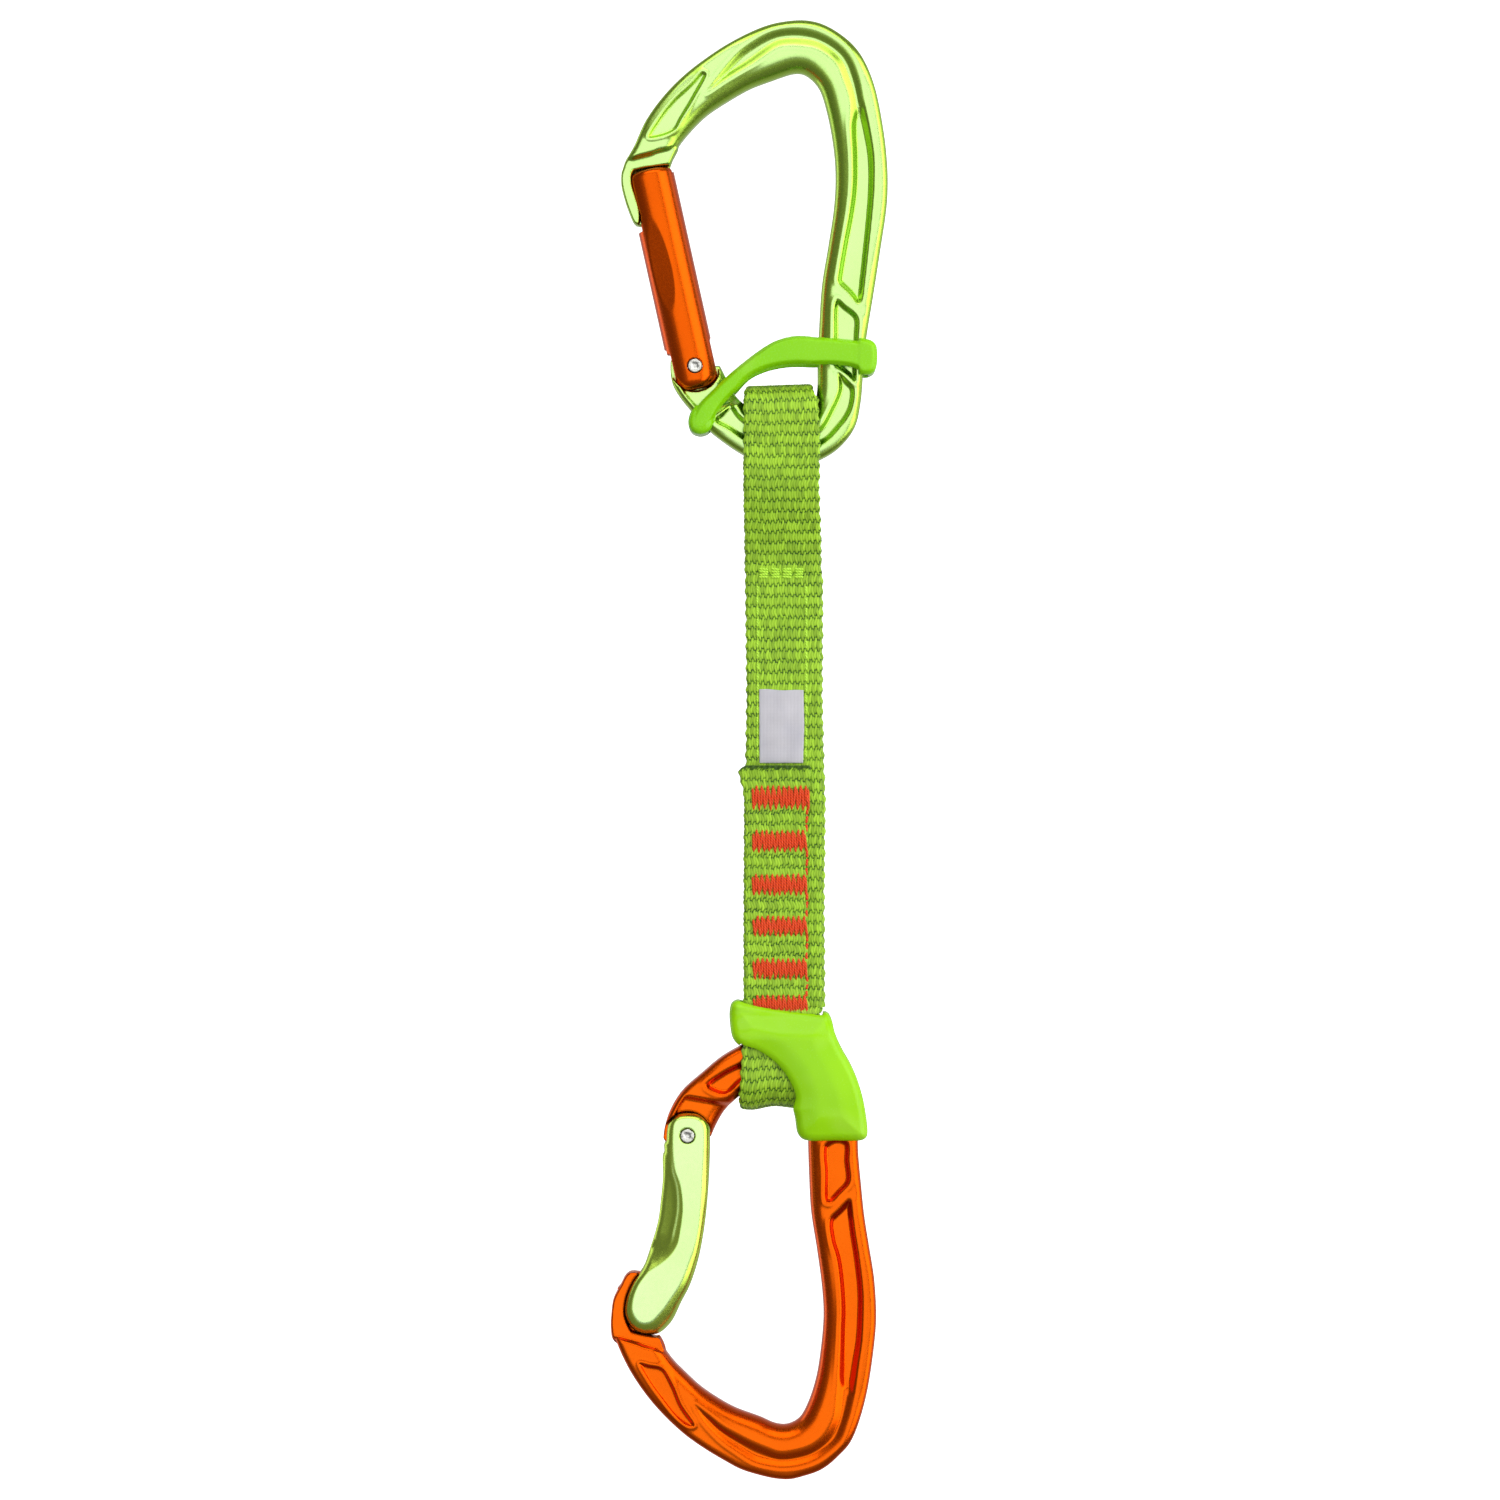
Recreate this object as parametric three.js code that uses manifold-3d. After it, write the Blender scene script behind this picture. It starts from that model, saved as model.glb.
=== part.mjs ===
// Climbing quickdraw: two keylock snap-hooks joined by a sewn sling.
// Millimetres, +Z up. X lies across the hooks' plane, Y is their thickness.
// The origin is the highest point of the upper hook's hanging basket.
import * as THREE from 'three';
import Module from 'manifold-3d';
import { mergeVertices } from 'three/addons/utils/BufferGeometryUtils.js';

const wasm = await Module();
wasm.setup();

// ---- driving dimensions ----
const BODY_HALF = 5.2; // half thickness of the forgings
const BODY_ROUND = 1.4; // rounding of the forgings' edges in their plane
const BODY_ROUND_Y = 2.0; // the same rounding through the thickness
const POCKET_DEPTH = 1.5;
const TANG_HALF = 1.5; // half thickness of the hinge tang and of the nose web
const KEY_HALF = 2.5; // half thickness of the nose key head
const LIP_HALF = 3.6;
const LAND_HALF = 3.6; // sunk land of the nose, just past the gate end
const RECESS_R = 6.55; // clearance circle in the forging around each gate's hinge end
const HORN_X = 5.3; // inner rim beside the gate, measured from the pivot
const GATE_R = 5.6;
const GATE_TILT = 12.5; // degrees, upper gate's lean in the hook's plane
const GATE_TOP = 46.9; // upper gate's length above its pivot
const GATE_BOTTOM = -5.4;
const GATE_OFFSET = -0.55; // gate's centre line from the pivot
const EAR_SLOT_HALF = 1.75;
const EAR_SLOT_TOP = 5.2;
const SLOT_HALF = 1.85;
const KEYWAY_HALF = 2.9;
const RIVET_R = 1.75;
const RIVET_GAP = 0.06;
const PLUNGER_R = 1.1;
const PLUNGER_X = 1.2;
const BORE_R = 1.4;
const BORE_TOP = 14.2;
const SPRING_WIRE = 0.2;
const SPRING_R = 0.92;
const SPRING_Z0 = 8.8;
const SPRING_Z1 = 13.8;
const SPRING_TURNS = 7;
const UPPER_PIVOT = [-23.87, -68.63];
const LOWER_PIVOT = [-25.62, -248.3];
const TAPE = 1.6; // tape thickness
const PLY_GAP = 0.3;
const LOOP_R = 6.3; // radius of the tape's centre line over each bar
const UPPER_LOOP_Z = -79.95;
const LOWER_LOOP_Z = -235.1;
const UPPER_EYE_END = -116.8;
const LOWER_EYE_END = -218.5;
const FLAP_TOP = -162.2;
const KEEPER_IN = 5.55; // inner half width of the ring keeper
const KEEPER_OUT = 7.4;
const CLEAR = 0.35; // clearance between keepers or tape and the forgings

// Outer edge of the upper forging, from the nose over the top and down the spine to the hinge end
const UPPER_OUTER = [
  [-37.56, -19.91], [-38.26, -18.09], [-35.33, -11.30], [-30.89, -5.22], [-26.21, -0.54], [-21.06, 3.44], [-15.21, 7.18], [-7.72, 10.69],
  [-2.81, 11.86], [2.11, 12.10], [6.08, 11.16], [10.53, 8.59], [13.81, 5.55], [16.15, 1.80], [18.25, -3.81], [20.01, -12.47],
  [20.83, -18.79], [21.18, -24.87], [20.94, -31.19], [19.42, -41.72], [17.67, -52.95], [16.50, -59.97], [15.80, -65.12], [15.33, -71.67],
  [14.86, -77.06], [13.57, -82.67], [10.06, -87.35], [5.85, -90.16], [0.70, -91.80], [-5.15, -92.03], [-12.17, -89.46], [-20.12, -83.96],
  [-22.70, -81.39], [-24.80, -78.93], [-27.61, -75.42], [-29.13, -72.61], [-29.60, -69.80], [-29.60, -67.23],
];
// End of the hinge tang
const UPPER_HINGE = [
  [-29.60, -67.23], [-27.50, -66.15], [-22.02, -64.94],
];
// Inner edge of the upper forging, from the hinge round the lower bar and up to the nose
const UPPER_INNER = [
  [-18.02, -68.40], [-16.85, -70.74], [-15.44, -73.78], [-13.10, -76.82], [-9.36, -79.86], [-5.15, -81.62], [-1.64, -81.97], [1.64, -81.15],
  [3.74, -78.69], [4.68, -74.48], [4.80, -68.16], [5.15, -59.97], [5.85, -49.44], [7.25, -40.79], [8.66, -31.19], [9.01, -24.17],
  [8.54, -17.39], [7.02, -9.20], [5.27, -3.81], [3.51, -1.59], [1.64, -0.30], [0.00, -0.07], [-1.17, -0.19], [-6.08, -1.83],
  [-10.76, -3.58], [-15.44, -6.15], [-20.83, -9.66], [-23.40, -12.00], [-26.44, -15.40], [-27.85, -17.62],
];
// Thin web of the nose, which the gate closes over
const UPPER_NOSE_PLATE = [
  [-39.31, -19.26], [-40.95, -22.53], [-41.30, -25.11], [-40.95, -27.68], [-40.25, -30.26], [-38.38, -34.70], [-37.67, -35.87], [-36.04, -35.87],
  [-34.40, -34.23], [-33.70, -30.72], [-33.23, -26.04], [-30.19, -23.00], [-28.55, -18.79], [-27.38, -16.45], [-34.40, -16.92],
];
// Sunk land between the forging and the gate end
const UPPER_NOSE_LAND = [
  [-37.56, -19.91], [-38.14, -21.13], [-38.14, -23.24], [-37.67, -23.07], [-34.87, -22.32], [-32.06, -21.74], [-29.48, -21.36], [-27.85, -17.62],
  [-34.40, -17.15],
];
// Thicker head at the tip of the nose
const UPPER_NOSE_KEY = [
  [-38.61, -32.60], [-34.28, -32.60], [-34.40, -34.23], [-36.04, -35.87], [-37.67, -35.87], [-38.38, -34.70],
];
// Outer lip of the nose, beside the gate
const UPPER_NOSE_LIP = [
  [-39.66, -20.43], [-40.95, -22.53], [-41.30, -25.11], [-40.95, -27.68], [-40.25, -30.26], [-38.38, -34.70], [-37.67, -35.87], [-37.09, -35.64],
  [-37.79, -29.55], [-38.26, -23.94], [-38.14, -20.19],
];
// Side of the gate cut away for the lip
const UPPER_GATE_CUT = [
  [-48.44, -10.83], [-37.77, -10.83], [-37.77, -24.41], [-37.30, -28.62], [-36.50, -33.77], [-36.50, -36.46], [-48.44, -39.62],
];
// Slot in the gate end for the nose web
const UPPER_GATE_SLOT = [
  [-48.44, -10.83], [-28.31, -10.83], [-29.02, -22.77], [-32.29, -26.75], [-32.88, -31.66], [-48.44, -31.66],
];
// Wider pocket behind the slot for the key head
const UPPER_GATE_KEYWAY = [
  [-48.44, -31.43], [-33.23, -31.43], [-33.34, -34.70], [-35.33, -36.93], [-48.44, -40.08],
];
// Nose pocket
const UPPER_POCKETS_A = [
  [-34.87, -15.51], [-28.78, -14.11], [-21.06, -0.07], [-26.44, -4.75], [-31.12, -9.66],
];
// Top pocket
const UPPER_POCKETS_B = [
  [-21.29, -4.98], [-14.04, 4.38], [-6.55, 9.29], [0.70, 10.34], [8.19, 7.89], [13.10, 2.97], [15.68, -6.39], [12.17, -12.71],
  [12.17, -7.32], [10.65, -2.41], [7.25, 3.44], [0.70, 5.66], [-4.21, 5.66], [-16.85, -2.18],
];
// Spine pocket
const UPPER_POCKETS_C = [
  [11.93, -14.34], [16.15, -7.32], [18.02, -19.73], [18.02, -26.98], [16.61, -41.96], [15.09, -53.66], [12.87, -59.97], [12.40, -67.46],
  [11.47, -75.18], [8.66, -76.35], [8.66, -66.99], [8.66, -53.19], [10.76, -39.38], [12.64, -26.98],
];
// Lower bar pocket
const UPPER_POCKETS_D = [
  [8.66, -78.23], [11.23, -78.23], [10.53, -82.20], [7.25, -86.18], [2.11, -88.52], [-4.45, -88.52], [-10.53, -86.18], [-14.51, -82.91],
  [-14.51, -79.16], [-9.36, -82.91], [-4.45, -84.78], [0.70, -84.78], [5.38, -82.91],
];
// Outer edge of the lower forging, from the nose round the basket and up the spine to the hinge end
const LOWER_OUTER = [
  [-40.72, -296.20], [-41.42, -298.07], [-38.84, -303.57], [-33.70, -310.82], [-26.91, -317.61], [-21.76, -321.35], [-17.08, -324.16], [-13.10, -326.27],
  [-7.72, -327.90], [-4.68, -328.49], [-1.64, -328.61], [1.40, -327.90], [4.91, -326.73], [7.25, -325.33], [9.83, -322.99], [12.17, -320.42],
  [14.04, -316.44], [16.38, -308.01], [18.25, -294.91], [18.49, -290.00], [18.02, -281.81], [16.85, -274.32], [15.68, -266.83], [14.86, -258.87],
  [14.27, -252.09], [14.16, -246.00], [13.81, -241.32], [12.87, -236.64], [11.23, -231.73], [8.19, -227.75], [3.98, -225.18], [-1.17, -223.77],
  [-7.02, -224.01], [-13.57, -227.28], [-18.72, -230.56], [-23.63, -234.54], [-28.08, -238.98], [-30.19, -242.49], [-31.01, -246.24], [-31.24, -249.75],
];
// End of the hinge tang
const LOWER_HINGE = [
  [-31.24, -249.75], [-28.62, -251.50], [-23.03, -251.50],
];
// Inner edge of the lower forging, from the hinge round the upper bar and down to the nose
const LOWER_INNER = [
  [-20.12, -248.81], [-18.95, -246.47], [-17.32, -243.90], [-14.74, -241.09], [-11.00, -237.81], [-6.79, -235.47], [-3.04, -234.77], [0.00, -235.71],
  [1.87, -238.28], [2.57, -242.49], [2.57, -249.75], [2.81, -257.70], [3.28, -266.13], [4.68, -275.25], [5.85, -284.15], [6.20, -290.46],
  [5.62, -297.95], [4.45, -305.21], [2.34, -311.52], [0.47, -314.57], [-2.34, -315.97], [-5.15, -315.74], [-8.42, -314.33], [-14.74, -311.99],
  [-19.66, -309.18], [-22.93, -306.84], [-26.44, -303.57], [-28.78, -301.23], [-30.42, -299.12],
];
// Thin web of the nose, which the gate closes over
const LOWER_NOSE_PLATE = [
  [-42.82, -296.55], [-43.52, -293.27], [-43.52, -290.23], [-42.82, -286.49], [-40.95, -281.34], [-39.78, -280.29], [-36.04, -280.29], [-35.33, -281.34],
  [-35.10, -284.15], [-35.33, -292.80], [-33.23, -296.08], [-30.19, -299.12], [-34.40, -300.53],
];
// Sunk land between the forging and the gate end
const LOWER_NOSE_LAND = [
  [-40.72, -296.20], [-40.48, -293.74], [-39.08, -294.16], [-36.74, -294.82], [-34.40, -295.31], [-31.59, -295.71], [-30.42, -299.12], [-34.40, -300.53],
  [-38.61, -299.36],
];
// Thicker head at the tip of the nose
const LOWER_NOSE_KEY = [
  [-42.12, -284.15], [-40.95, -281.34], [-39.78, -280.29], [-36.04, -280.29], [-35.33, -281.34], [-35.10, -284.15],
];
// Outer lip of the nose, beside the gate
const LOWER_NOSE_LIP = [
  [-42.82, -295.85], [-43.52, -293.27], [-43.52, -290.23], [-42.82, -286.49], [-40.95, -281.34], [-39.78, -280.29], [-37.21, -280.29], [-39.55, -283.91],
  [-40.95, -288.36], [-40.25, -293.04], [-38.61, -296.31],
];
// Slot in the gate end for the nose web
const LOWER_GATE_SLOT = [
  [-50.78, -283.21], [-34.28, -283.21], [-34.52, -292.57], [-32.06, -297.48], [-50.78, -302.16],
];
// Wider pocket for the key head
const LOWER_GATE_KEYWAY = [
  [-50.78, -275.25], [-37.67, -278.30], [-34.87, -279.23], [-34.16, -281.34], [-34.16, -284.61], [-50.78, -284.61],
];
// Nose pocket
const LOWER_POCKETS_A = [
  [-37.21, -301.11], [-31.12, -302.63], [-26.91, -309.65], [-23.70, -316.11], [-28.31, -312.23], [-33.23, -307.08],
];
// Basket pocket
const LOWER_POCKETS_B = [
  [-23.94, -311.41], [-18.35, -319.01], [-11.23, -323.93], [-3.11, -325.73], [4.45, -322.99], [9.83, -317.61], [12.54, -310.12], [9.36, -303.80],
  [8.89, -307.78], [7.63, -314.57], [4.45, -319.48], [-1.40, -321.94], [-5.85, -321.26], [-14.74, -317.14],
];
// Spine pocket
const LOWER_POCKETS_C = [
  [9.13, -301.93], [13.10, -308.72], [14.98, -296.55], [15.21, -289.29], [14.04, -274.32], [12.64, -262.62], [11.70, -254.19], [10.53, -246.71],
  [9.59, -241.09], [6.32, -241.09], [6.32, -249.51], [6.32, -261.21], [7.49, -275.25], [9.59, -286.95], [9.59, -293.97],
];
// Upper bar pocket
const LOWER_POCKETS_D = [
  [6.32, -238.28], [8.66, -238.28], [7.72, -234.07], [4.91, -229.86], [-0.47, -227.52], [-6.79, -227.75], [-12.17, -229.86], [-16.38, -233.13],
  [-21.76, -236.88], [-16.61, -238.75], [-12.17, -235.01], [-6.79, -231.96], [-1.64, -231.26], [3.51, -233.60],
];
// Outline of the bent gate
const LOWER_GATE = [
  [-25.97, -243.20], [-28.31, -243.90], [-30.09, -246.00], [-31.24, -249.05], [-31.36, -252.79], [-31.36, -257.94], [-31.71, -263.55], [-32.29, -268.94],
  [-34.40, -274.55], [-36.04, -279.47], [-38.84, -283.91], [-40.25, -288.59], [-39.17, -292.69], [-37.44, -294.21], [-35.10, -294.91], [-32.76, -294.68],
  [-31.12, -294.11], [-29.09, -291.40], [-25.88, -285.78], [-23.40, -279.70], [-22.00, -271.74], [-21.06, -263.67], [-20.59, -255.60], [-20.36, -249.51],
  [-20.48, -246.71], [-21.76, -244.13], [-23.63, -243.20],
];
// Raised flat on the bent gate
const LOWER_GATE_PANEL = [
  [-28.31, -244.83], [-28.90, -249.51], [-29.09, -253.61], [-28.31, -257.94], [-26.44, -263.67], [-26.28, -269.64], [-27.50, -274.08], [-30.30, -278.18],
  [-35.10, -281.81], [-37.56, -285.78], [-38.14, -289.88], [-35.94, -291.63], [-32.29, -290.23], [-28.31, -284.61], [-25.51, -278.53], [-23.40, -270.11],
  [-22.46, -259.58], [-22.00, -247.64], [-22.70, -245.07], [-25.51, -244.13],
];
// Outline of the ring keeper
const KEEPER_BAND = [
  [4.91, -61.31], [14.27, -62.08], [16.61, -62.31], [18.02, -63.48], [18.58, -64.65], [18.58, -68.87], [17.55, -70.39], [15.91, -71.09],
  [13.57, -69.80], [7.96, -69.10], [3.51, -69.45], [-3.28, -69.10], [-7.25, -70.04], [-10.76, -71.91], [-13.34, -75.07], [-16.85, -78.23],
  [-19.66, -82.44], [-20.59, -84.08], [-22.70, -84.90], [-24.57, -84.08], [-25.51, -82.44], [-25.04, -79.63], [-23.17, -77.29], [-20.36, -74.25],
  [-15.44, -69.45], [-10.30, -65.36], [-4.91, -62.08], [-0.23, -60.91],
];
// Outline of the sleeve keeper
const KEEPER_BOOT = [
  [-15.58, -217.92], [-14.04, -216.64], [-12.68, -216.75], [-8.66, -217.22], [6.32, -219.33], [7.49, -220.97], [9.06, -225.18], [11.77, -230.33],
  [14.11, -235.36], [15.68, -240.86], [16.38, -246.94], [16.03, -248.93], [8.66, -249.09], [1.29, -249.14], [0.00, -247.41], [-0.47, -242.73],
  [-0.70, -238.75], [-2.57, -235.01], [-5.62, -231.50], [-9.59, -228.69], [-13.46, -226.82], [-14.98, -224.01], [-15.77, -220.62],
];
// Opening inside the ring keeper, between its end walls
const KEEPER_CORE = [[16.50, -52.95], [16.50, -81.03], [-6.32, -92.73], [-19.89, -85.71], [-19.89, -84.31], [-24.92, -79.16], [-25.04, -71.67], [-22.70, -52.95]];
const SLING_X0 = -12.47; // tape edges
const SLING_X1 = 5.73;
const LOWER_EYE_X0 = -13.22;
const LOWER_EYE_X1 = 5.03;
// Front flap, whose raw corner sticks out a little
const FLAP_OUTLINE = [[-13.62, -163.40], [-12.87, -162.23], [-8.66, -161.95], [0.70, -162.00], [3.16, -162.47], [2.81, -164.81], [2.46, -168.78], [2.34, -176.97], [2.46, -217.57], [-12.40, -217.57], [-12.40, -168.78], [-13.10, -166.44]];
const TACK_TOP = [-9.13, 1.40, -120.70, -117.42]; // x0, x1, z0, z1
const SEAM_LEFT_X = -9.48;
const SEAM_RIGHT_X = 2.18;
const SEAM_Z0 = -161.41;
const SEAM_Z1 = -121.28;
const BAR_TACKS = [ // x0, x1, z0, z1
  [-10.53, 2.19, -171.36, -167.38],
  [-10.53, 1.96, -181.19, -177.79],
  [-10.53, 2.19, -191.25, -188.21],
  [-10.30, 2.19, -200.84, -197.92],
  [-10.30, 2.19, -210.90, -207.86],
  [-10.30, 2.19, -217.46, -215.35],
];
const LABEL_OUTLINE = [[-9.01, -144.10], [-3.74, -143.98], [1.40, -144.45], [1.64, -152.40], [1.59, -161.18], [-9.01, -161.18]];

// ---- helpers ----
const V2 = (p) => new THREE.Vector2(p[0], p[1]);

// A smooth curve through the points, resampled at an even spacing.
function smooth(points, spacing) {
  const curve = new THREE.SplineCurve(points.map(V2));
  const n = Math.max(2, Math.round(curve.getLength() / spacing));
  return curve.getSpacedPoints(n);
}

// A closed smooth outline.
function smoothClosed(points, spacing) {
  const curve = new THREE.CatmullRomCurve3(points.map((p) => new THREE.Vector3(p[0], p[1], 0)), true, 'centripetal');
  const n = Math.max(8, Math.round(curve.getLength() / spacing));
  return curve.getSpacedPoints(n).slice(0, -1).map((p) => new THREE.Vector2(p.x, p.y));
}

function dedupe(points) {
  const out = [];
  for (const p of points) if (!out.length || out[out.length - 1].distanceTo(p) > 0.05) out.push(p);
  while (out.length > 3 && out[0].distanceTo(out[out.length - 1]) < 0.05) out.pop();
  return out;
}

// Moves a closed outline along its normals; positive grows it.
function grow(points, d) {
  const n = points.length;
  const sign = THREE.ShapeUtils.area(points) > 0 ? 1 : -1;
  return points.map((p, i) => {
    const a = points[(i + n - 1) % n];
    const b = points[(i + 1) % n];
    const t = new THREE.Vector2().subVectors(b, a).normalize();
    return new THREE.Vector2(p.x + sign * t.y * d, p.y - sign * t.x * d);
  });
}

function toSolid(geometry) {
  let g = geometry.clone();
  g.deleteAttribute('normal');
  if (g.getAttribute('uv')) g.deleteAttribute('uv');
  g = mergeVertices(g, 1e-4);
  const triVerts = new Uint32Array(g.index.array);
  const vertProperties = new Float32Array(g.getAttribute('position').array);
  return new wasm.Manifold(new wasm.Mesh({ numProp: 3, vertProperties, triVerts }));
}

function toGeometry(solid) {
  const m = solid.getMesh();
  const g = new THREE.BufferGeometry();
  g.setAttribute('position', new THREE.BufferAttribute(new Float32Array(m.vertProperties), 3));
  g.setIndex(new THREE.BufferAttribute(new Uint32Array(m.triVerts), 1));
  g.computeVertexNormals();
  return g;
}

// A solid from an outline in X and Z, spread over a range of Y.
function plate(points, y0, y1, bevel = 0, bevelSegments = 2, bevelY = bevel) {
  let pts = points.map((p) => (p.isVector2 ? p : V2(p)));
  if (THREE.ShapeUtils.area(pts) < 0) pts = pts.slice().reverse();
  const g = new THREE.ExtrudeGeometry(new THREE.Shape(pts), {
    depth: y1 - y0 - 2 * bevelY,
    bevelEnabled: bevel > 0,
    bevelSize: bevel,
    bevelOffset: -bevel,
    bevelThickness: bevelY,
    bevelSegments,
    curveSegments: 1,
  });
  g.translate(0, 0, bevelY);
  g.rotateX(Math.PI / 2); // shape (x, y, depth) to (x, -depth, y)
  g.translate(0, y1, 0);
  return toSolid(g);
}

// A solid from an outline in Y and Z, spread over a range of X.
function slab(points, x0, x1) {
  let pts = points.map((p) => (p.isVector2 ? p : V2(p)));
  if (THREE.ShapeUtils.area(pts) < 0) pts = pts.slice().reverse();
  const g = new THREE.ExtrudeGeometry(new THREE.Shape(pts), { depth: x1 - x0, bevelEnabled: false, curveSegments: 1 });
  // shape (y, z, depth) to (depth, y, z)
  g.applyMatrix4(new THREE.Matrix4().set(0, 0, 1, x0, 1, 0, 0, 0, 0, 1, 0, 0, 0, 0, 0, 1));
  return toSolid(g);
}

function block(x0, x1, y0, y1, z0, z1) {
  const g = new THREE.BoxGeometry(x1 - x0, y1 - y0, z1 - z0);
  g.translate((x0 + x1) / 2, (y0 + y1) / 2, (z0 + z1) / 2);
  return toSolid(g);
}

// A turned solid about the Y axis through (x, z); profile pairs are (radius, y).
function turnedY(profile, x, z, segments = 32) {
  const g = new THREE.LatheGeometry(profile.map((p) => new THREE.Vector2(p[0], p[1])), segments);
  g.translate(x, 0, z);
  return toSolid(g);
}

// A turned solid about a line parallel to Z through (x, 0); profile pairs are (radius, z).
function turnedZ(profile, x, segments = 32) {
  const g = new THREE.LatheGeometry(profile.map((p) => new THREE.Vector2(p[0], p[1])), segments);
  g.rotateX(Math.PI / 2);
  g.translate(x, 0, 0);
  return toSolid(g);
}

const cylinderY = (x, z, r, y0, y1, n = 40) => turnedY([[0, y0], [r, y0], [r, y1], [0, y1]], x, z, n);

// Moves a solid from a frame set at a pivot, leaned by a tilt, to the shared frame.
function seat(solid, pivot, tilt, flip = false) {
  const a = THREE.MathUtils.degToRad(-tilt);
  let s = solid;
  if (flip) s = s.rotate([180, 0, 0]);
  return s.rotate([0, THREE.MathUtils.radToDeg(a), 0]).translate([pivot[0], 0, pivot[1]]);
}

// ---- materials ----
const mat = (color, roughness, metalness) => new THREE.MeshStandardMaterial({ color, roughness, metalness });
const greenMetal = () => mat(0x9cc95a, 0.3, 0.85);
const orangeMetal = () => mat(0xf06a0c, 0.32, 0.85);
const steel = () => mat(0xc9ccd0, 0.3, 1.0);
const springSteel = () => mat(0x9aa0a6, 0.35, 1.0);
const bandRubber = () => mat(0x86d412, 0.55, 0);
const bootRubber = () => mat(0x9fdc00, 0.5, 0);
const nylon = () => mat(0x86b82c, 0.85, 0);
const limeThread = () => mat(0xb6e81e, 0.8, 0);
const redThread = () => mat(0xd8430f, 0.8, 0);
const labelCloth = () => mat(0xe6e6ea, 0.85, 0);

const group = new THREE.Group();
group.name = 'quickdraw';
function addNode(name, solid, material) {
  const mesh = new THREE.Mesh(toGeometry(solid), material);
  mesh.name = name;
  group.add(mesh);
}

// ---- forgings ----
function forgingOutline(outer, hinge, inner, spacing) {
  return dedupe([V2(outer[0]), ...smooth(outer.slice(1), spacing), ...hinge.map(V2), ...smooth(inner, spacing)]);
}

function forging(outline, nose, pockets, pivot, tilt, flip, facetX, facetZ, facetUp) {
  let s = plate(outline, -BODY_HALF, BODY_HALF, BODY_ROUND, 2, BODY_ROUND_Y);
  for (const p of pockets) {
    const pts = smoothClosed(p, 2.4);
    s = s.subtract(plate(pts, -BODY_HALF - 1, -BODY_HALF + POCKET_DEPTH)).subtract(plate(pts, BODY_HALF - POCKET_DEPTH, BODY_HALF + 1));
  }
  // clearance around the gate's ears, which leaves the tang
  for (const side of [-1, 1]) {
    const y0 = side < 0 ? -BODY_HALF - 1 : TANG_HALF;
    const y1 = side < 0 ? -TANG_HALF : BODY_HALF + 1;
    let recess = cylinderY(0, 0, RECESS_R, y0, y1);
    recess = recess.subtract(block(HORN_X, 9, y0 - 1, y1 + 1, -9, -0.9));
    recess = recess.add(block(-6.4, 5.4, y0, y1, 0, 9));
    s = s.subtract(seat(recess, pivot, tilt, flip));
  }
  s = s.subtract(cylinderY(pivot[0], pivot[1], RIVET_R + RIVET_GAP, -BODY_HALF, BODY_HALF));
  for (const piece of nose) s = s.add(piece);
  // flat seat in the basket
  s = s.subtract(block(facetX - 2.6, facetX + 2.6, -7, 7, facetUp ? facetZ : facetZ - 3, facetUp ? facetZ + 3 : facetZ));
  return s;
}

const upperOutline = forgingOutline(UPPER_OUTER, UPPER_HINGE, UPPER_INNER, 2.3);
const lowerOutline = forgingOutline(LOWER_OUTER, LOWER_HINGE, LOWER_INNER, 2.3);

const upperBody = forging(
  upperOutline,
  [plate(UPPER_NOSE_LAND, -LAND_HALF, LAND_HALF), plate(UPPER_NOSE_PLATE, -TANG_HALF, TANG_HALF), plate(UPPER_NOSE_KEY, -KEY_HALF, KEY_HALF), plate(UPPER_NOSE_LIP, -LIP_HALF, LIP_HALF)],
  [UPPER_POCKETS_A, UPPER_POCKETS_B, UPPER_POCKETS_C, UPPER_POCKETS_D],
  UPPER_PIVOT, GATE_TILT, false, 0, 0, false,
);
const lowerBody = forging(
  lowerOutline,
  [plate(LOWER_NOSE_LAND, -LAND_HALF, LAND_HALF), plate(LOWER_NOSE_PLATE, -TANG_HALF, TANG_HALF), plate(LOWER_NOSE_KEY, -KEY_HALF, KEY_HALF), plate(LOWER_NOSE_LIP, -LIP_HALF, LIP_HALF)],
  [LOWER_POCKETS_A, LOWER_POCKETS_B, LOWER_POCKETS_C, LOWER_POCKETS_D],
  LOWER_PIVOT, 0, true, -2.3, -316.2, true,
);
addNode('upper_body', upperBody, greenMetal());
addNode('lower_body', lowerBody, orangeMetal());

// ---- gates ----
// Each gate is built about its pivot, with +Z toward its free end.
function gateHinge(solid) {
  let s = solid;
  s = s.subtract(block(-9, -5.0, -9, 9, -9, 4.4)).subtract(block(4.7, 9, -9, 9, -9, 5.8));
  const keep = cylinderY(0, 0, 6.15, -9, 9, 48).add(block(-12, 12, -9, 9, 1.5, 60));
  s = s.intersect(keep);
  s = s.subtract(block(-9, 9, -EAR_SLOT_HALF, EAR_SLOT_HALF, -9, EAR_SLOT_TOP));
  s = s.subtract(turnedZ([[0, EAR_SLOT_TOP - 0.5], [BORE_R, EAR_SLOT_TOP - 0.5], [BORE_R, BORE_TOP], [0, BORE_TOP + 0.5]], PLUNGER_X, 20));
  s = s.subtract(cylinderY(0, 0, RIVET_R + RIVET_GAP, -9, 9));
  return s;
}

const r = GATE_R;
let upperGate = turnedZ([[0, GATE_BOTTOM], [r - 2.3, GATE_BOTTOM], [r - 0.7, GATE_BOTTOM + 0.7], [r, GATE_BOTTOM + 2.3], [r, GATE_TOP - 1.1], [r - 0.35, GATE_TOP - 0.3], [r - 1.2, GATE_TOP], [0, GATE_TOP]], GATE_OFFSET, 48);
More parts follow.
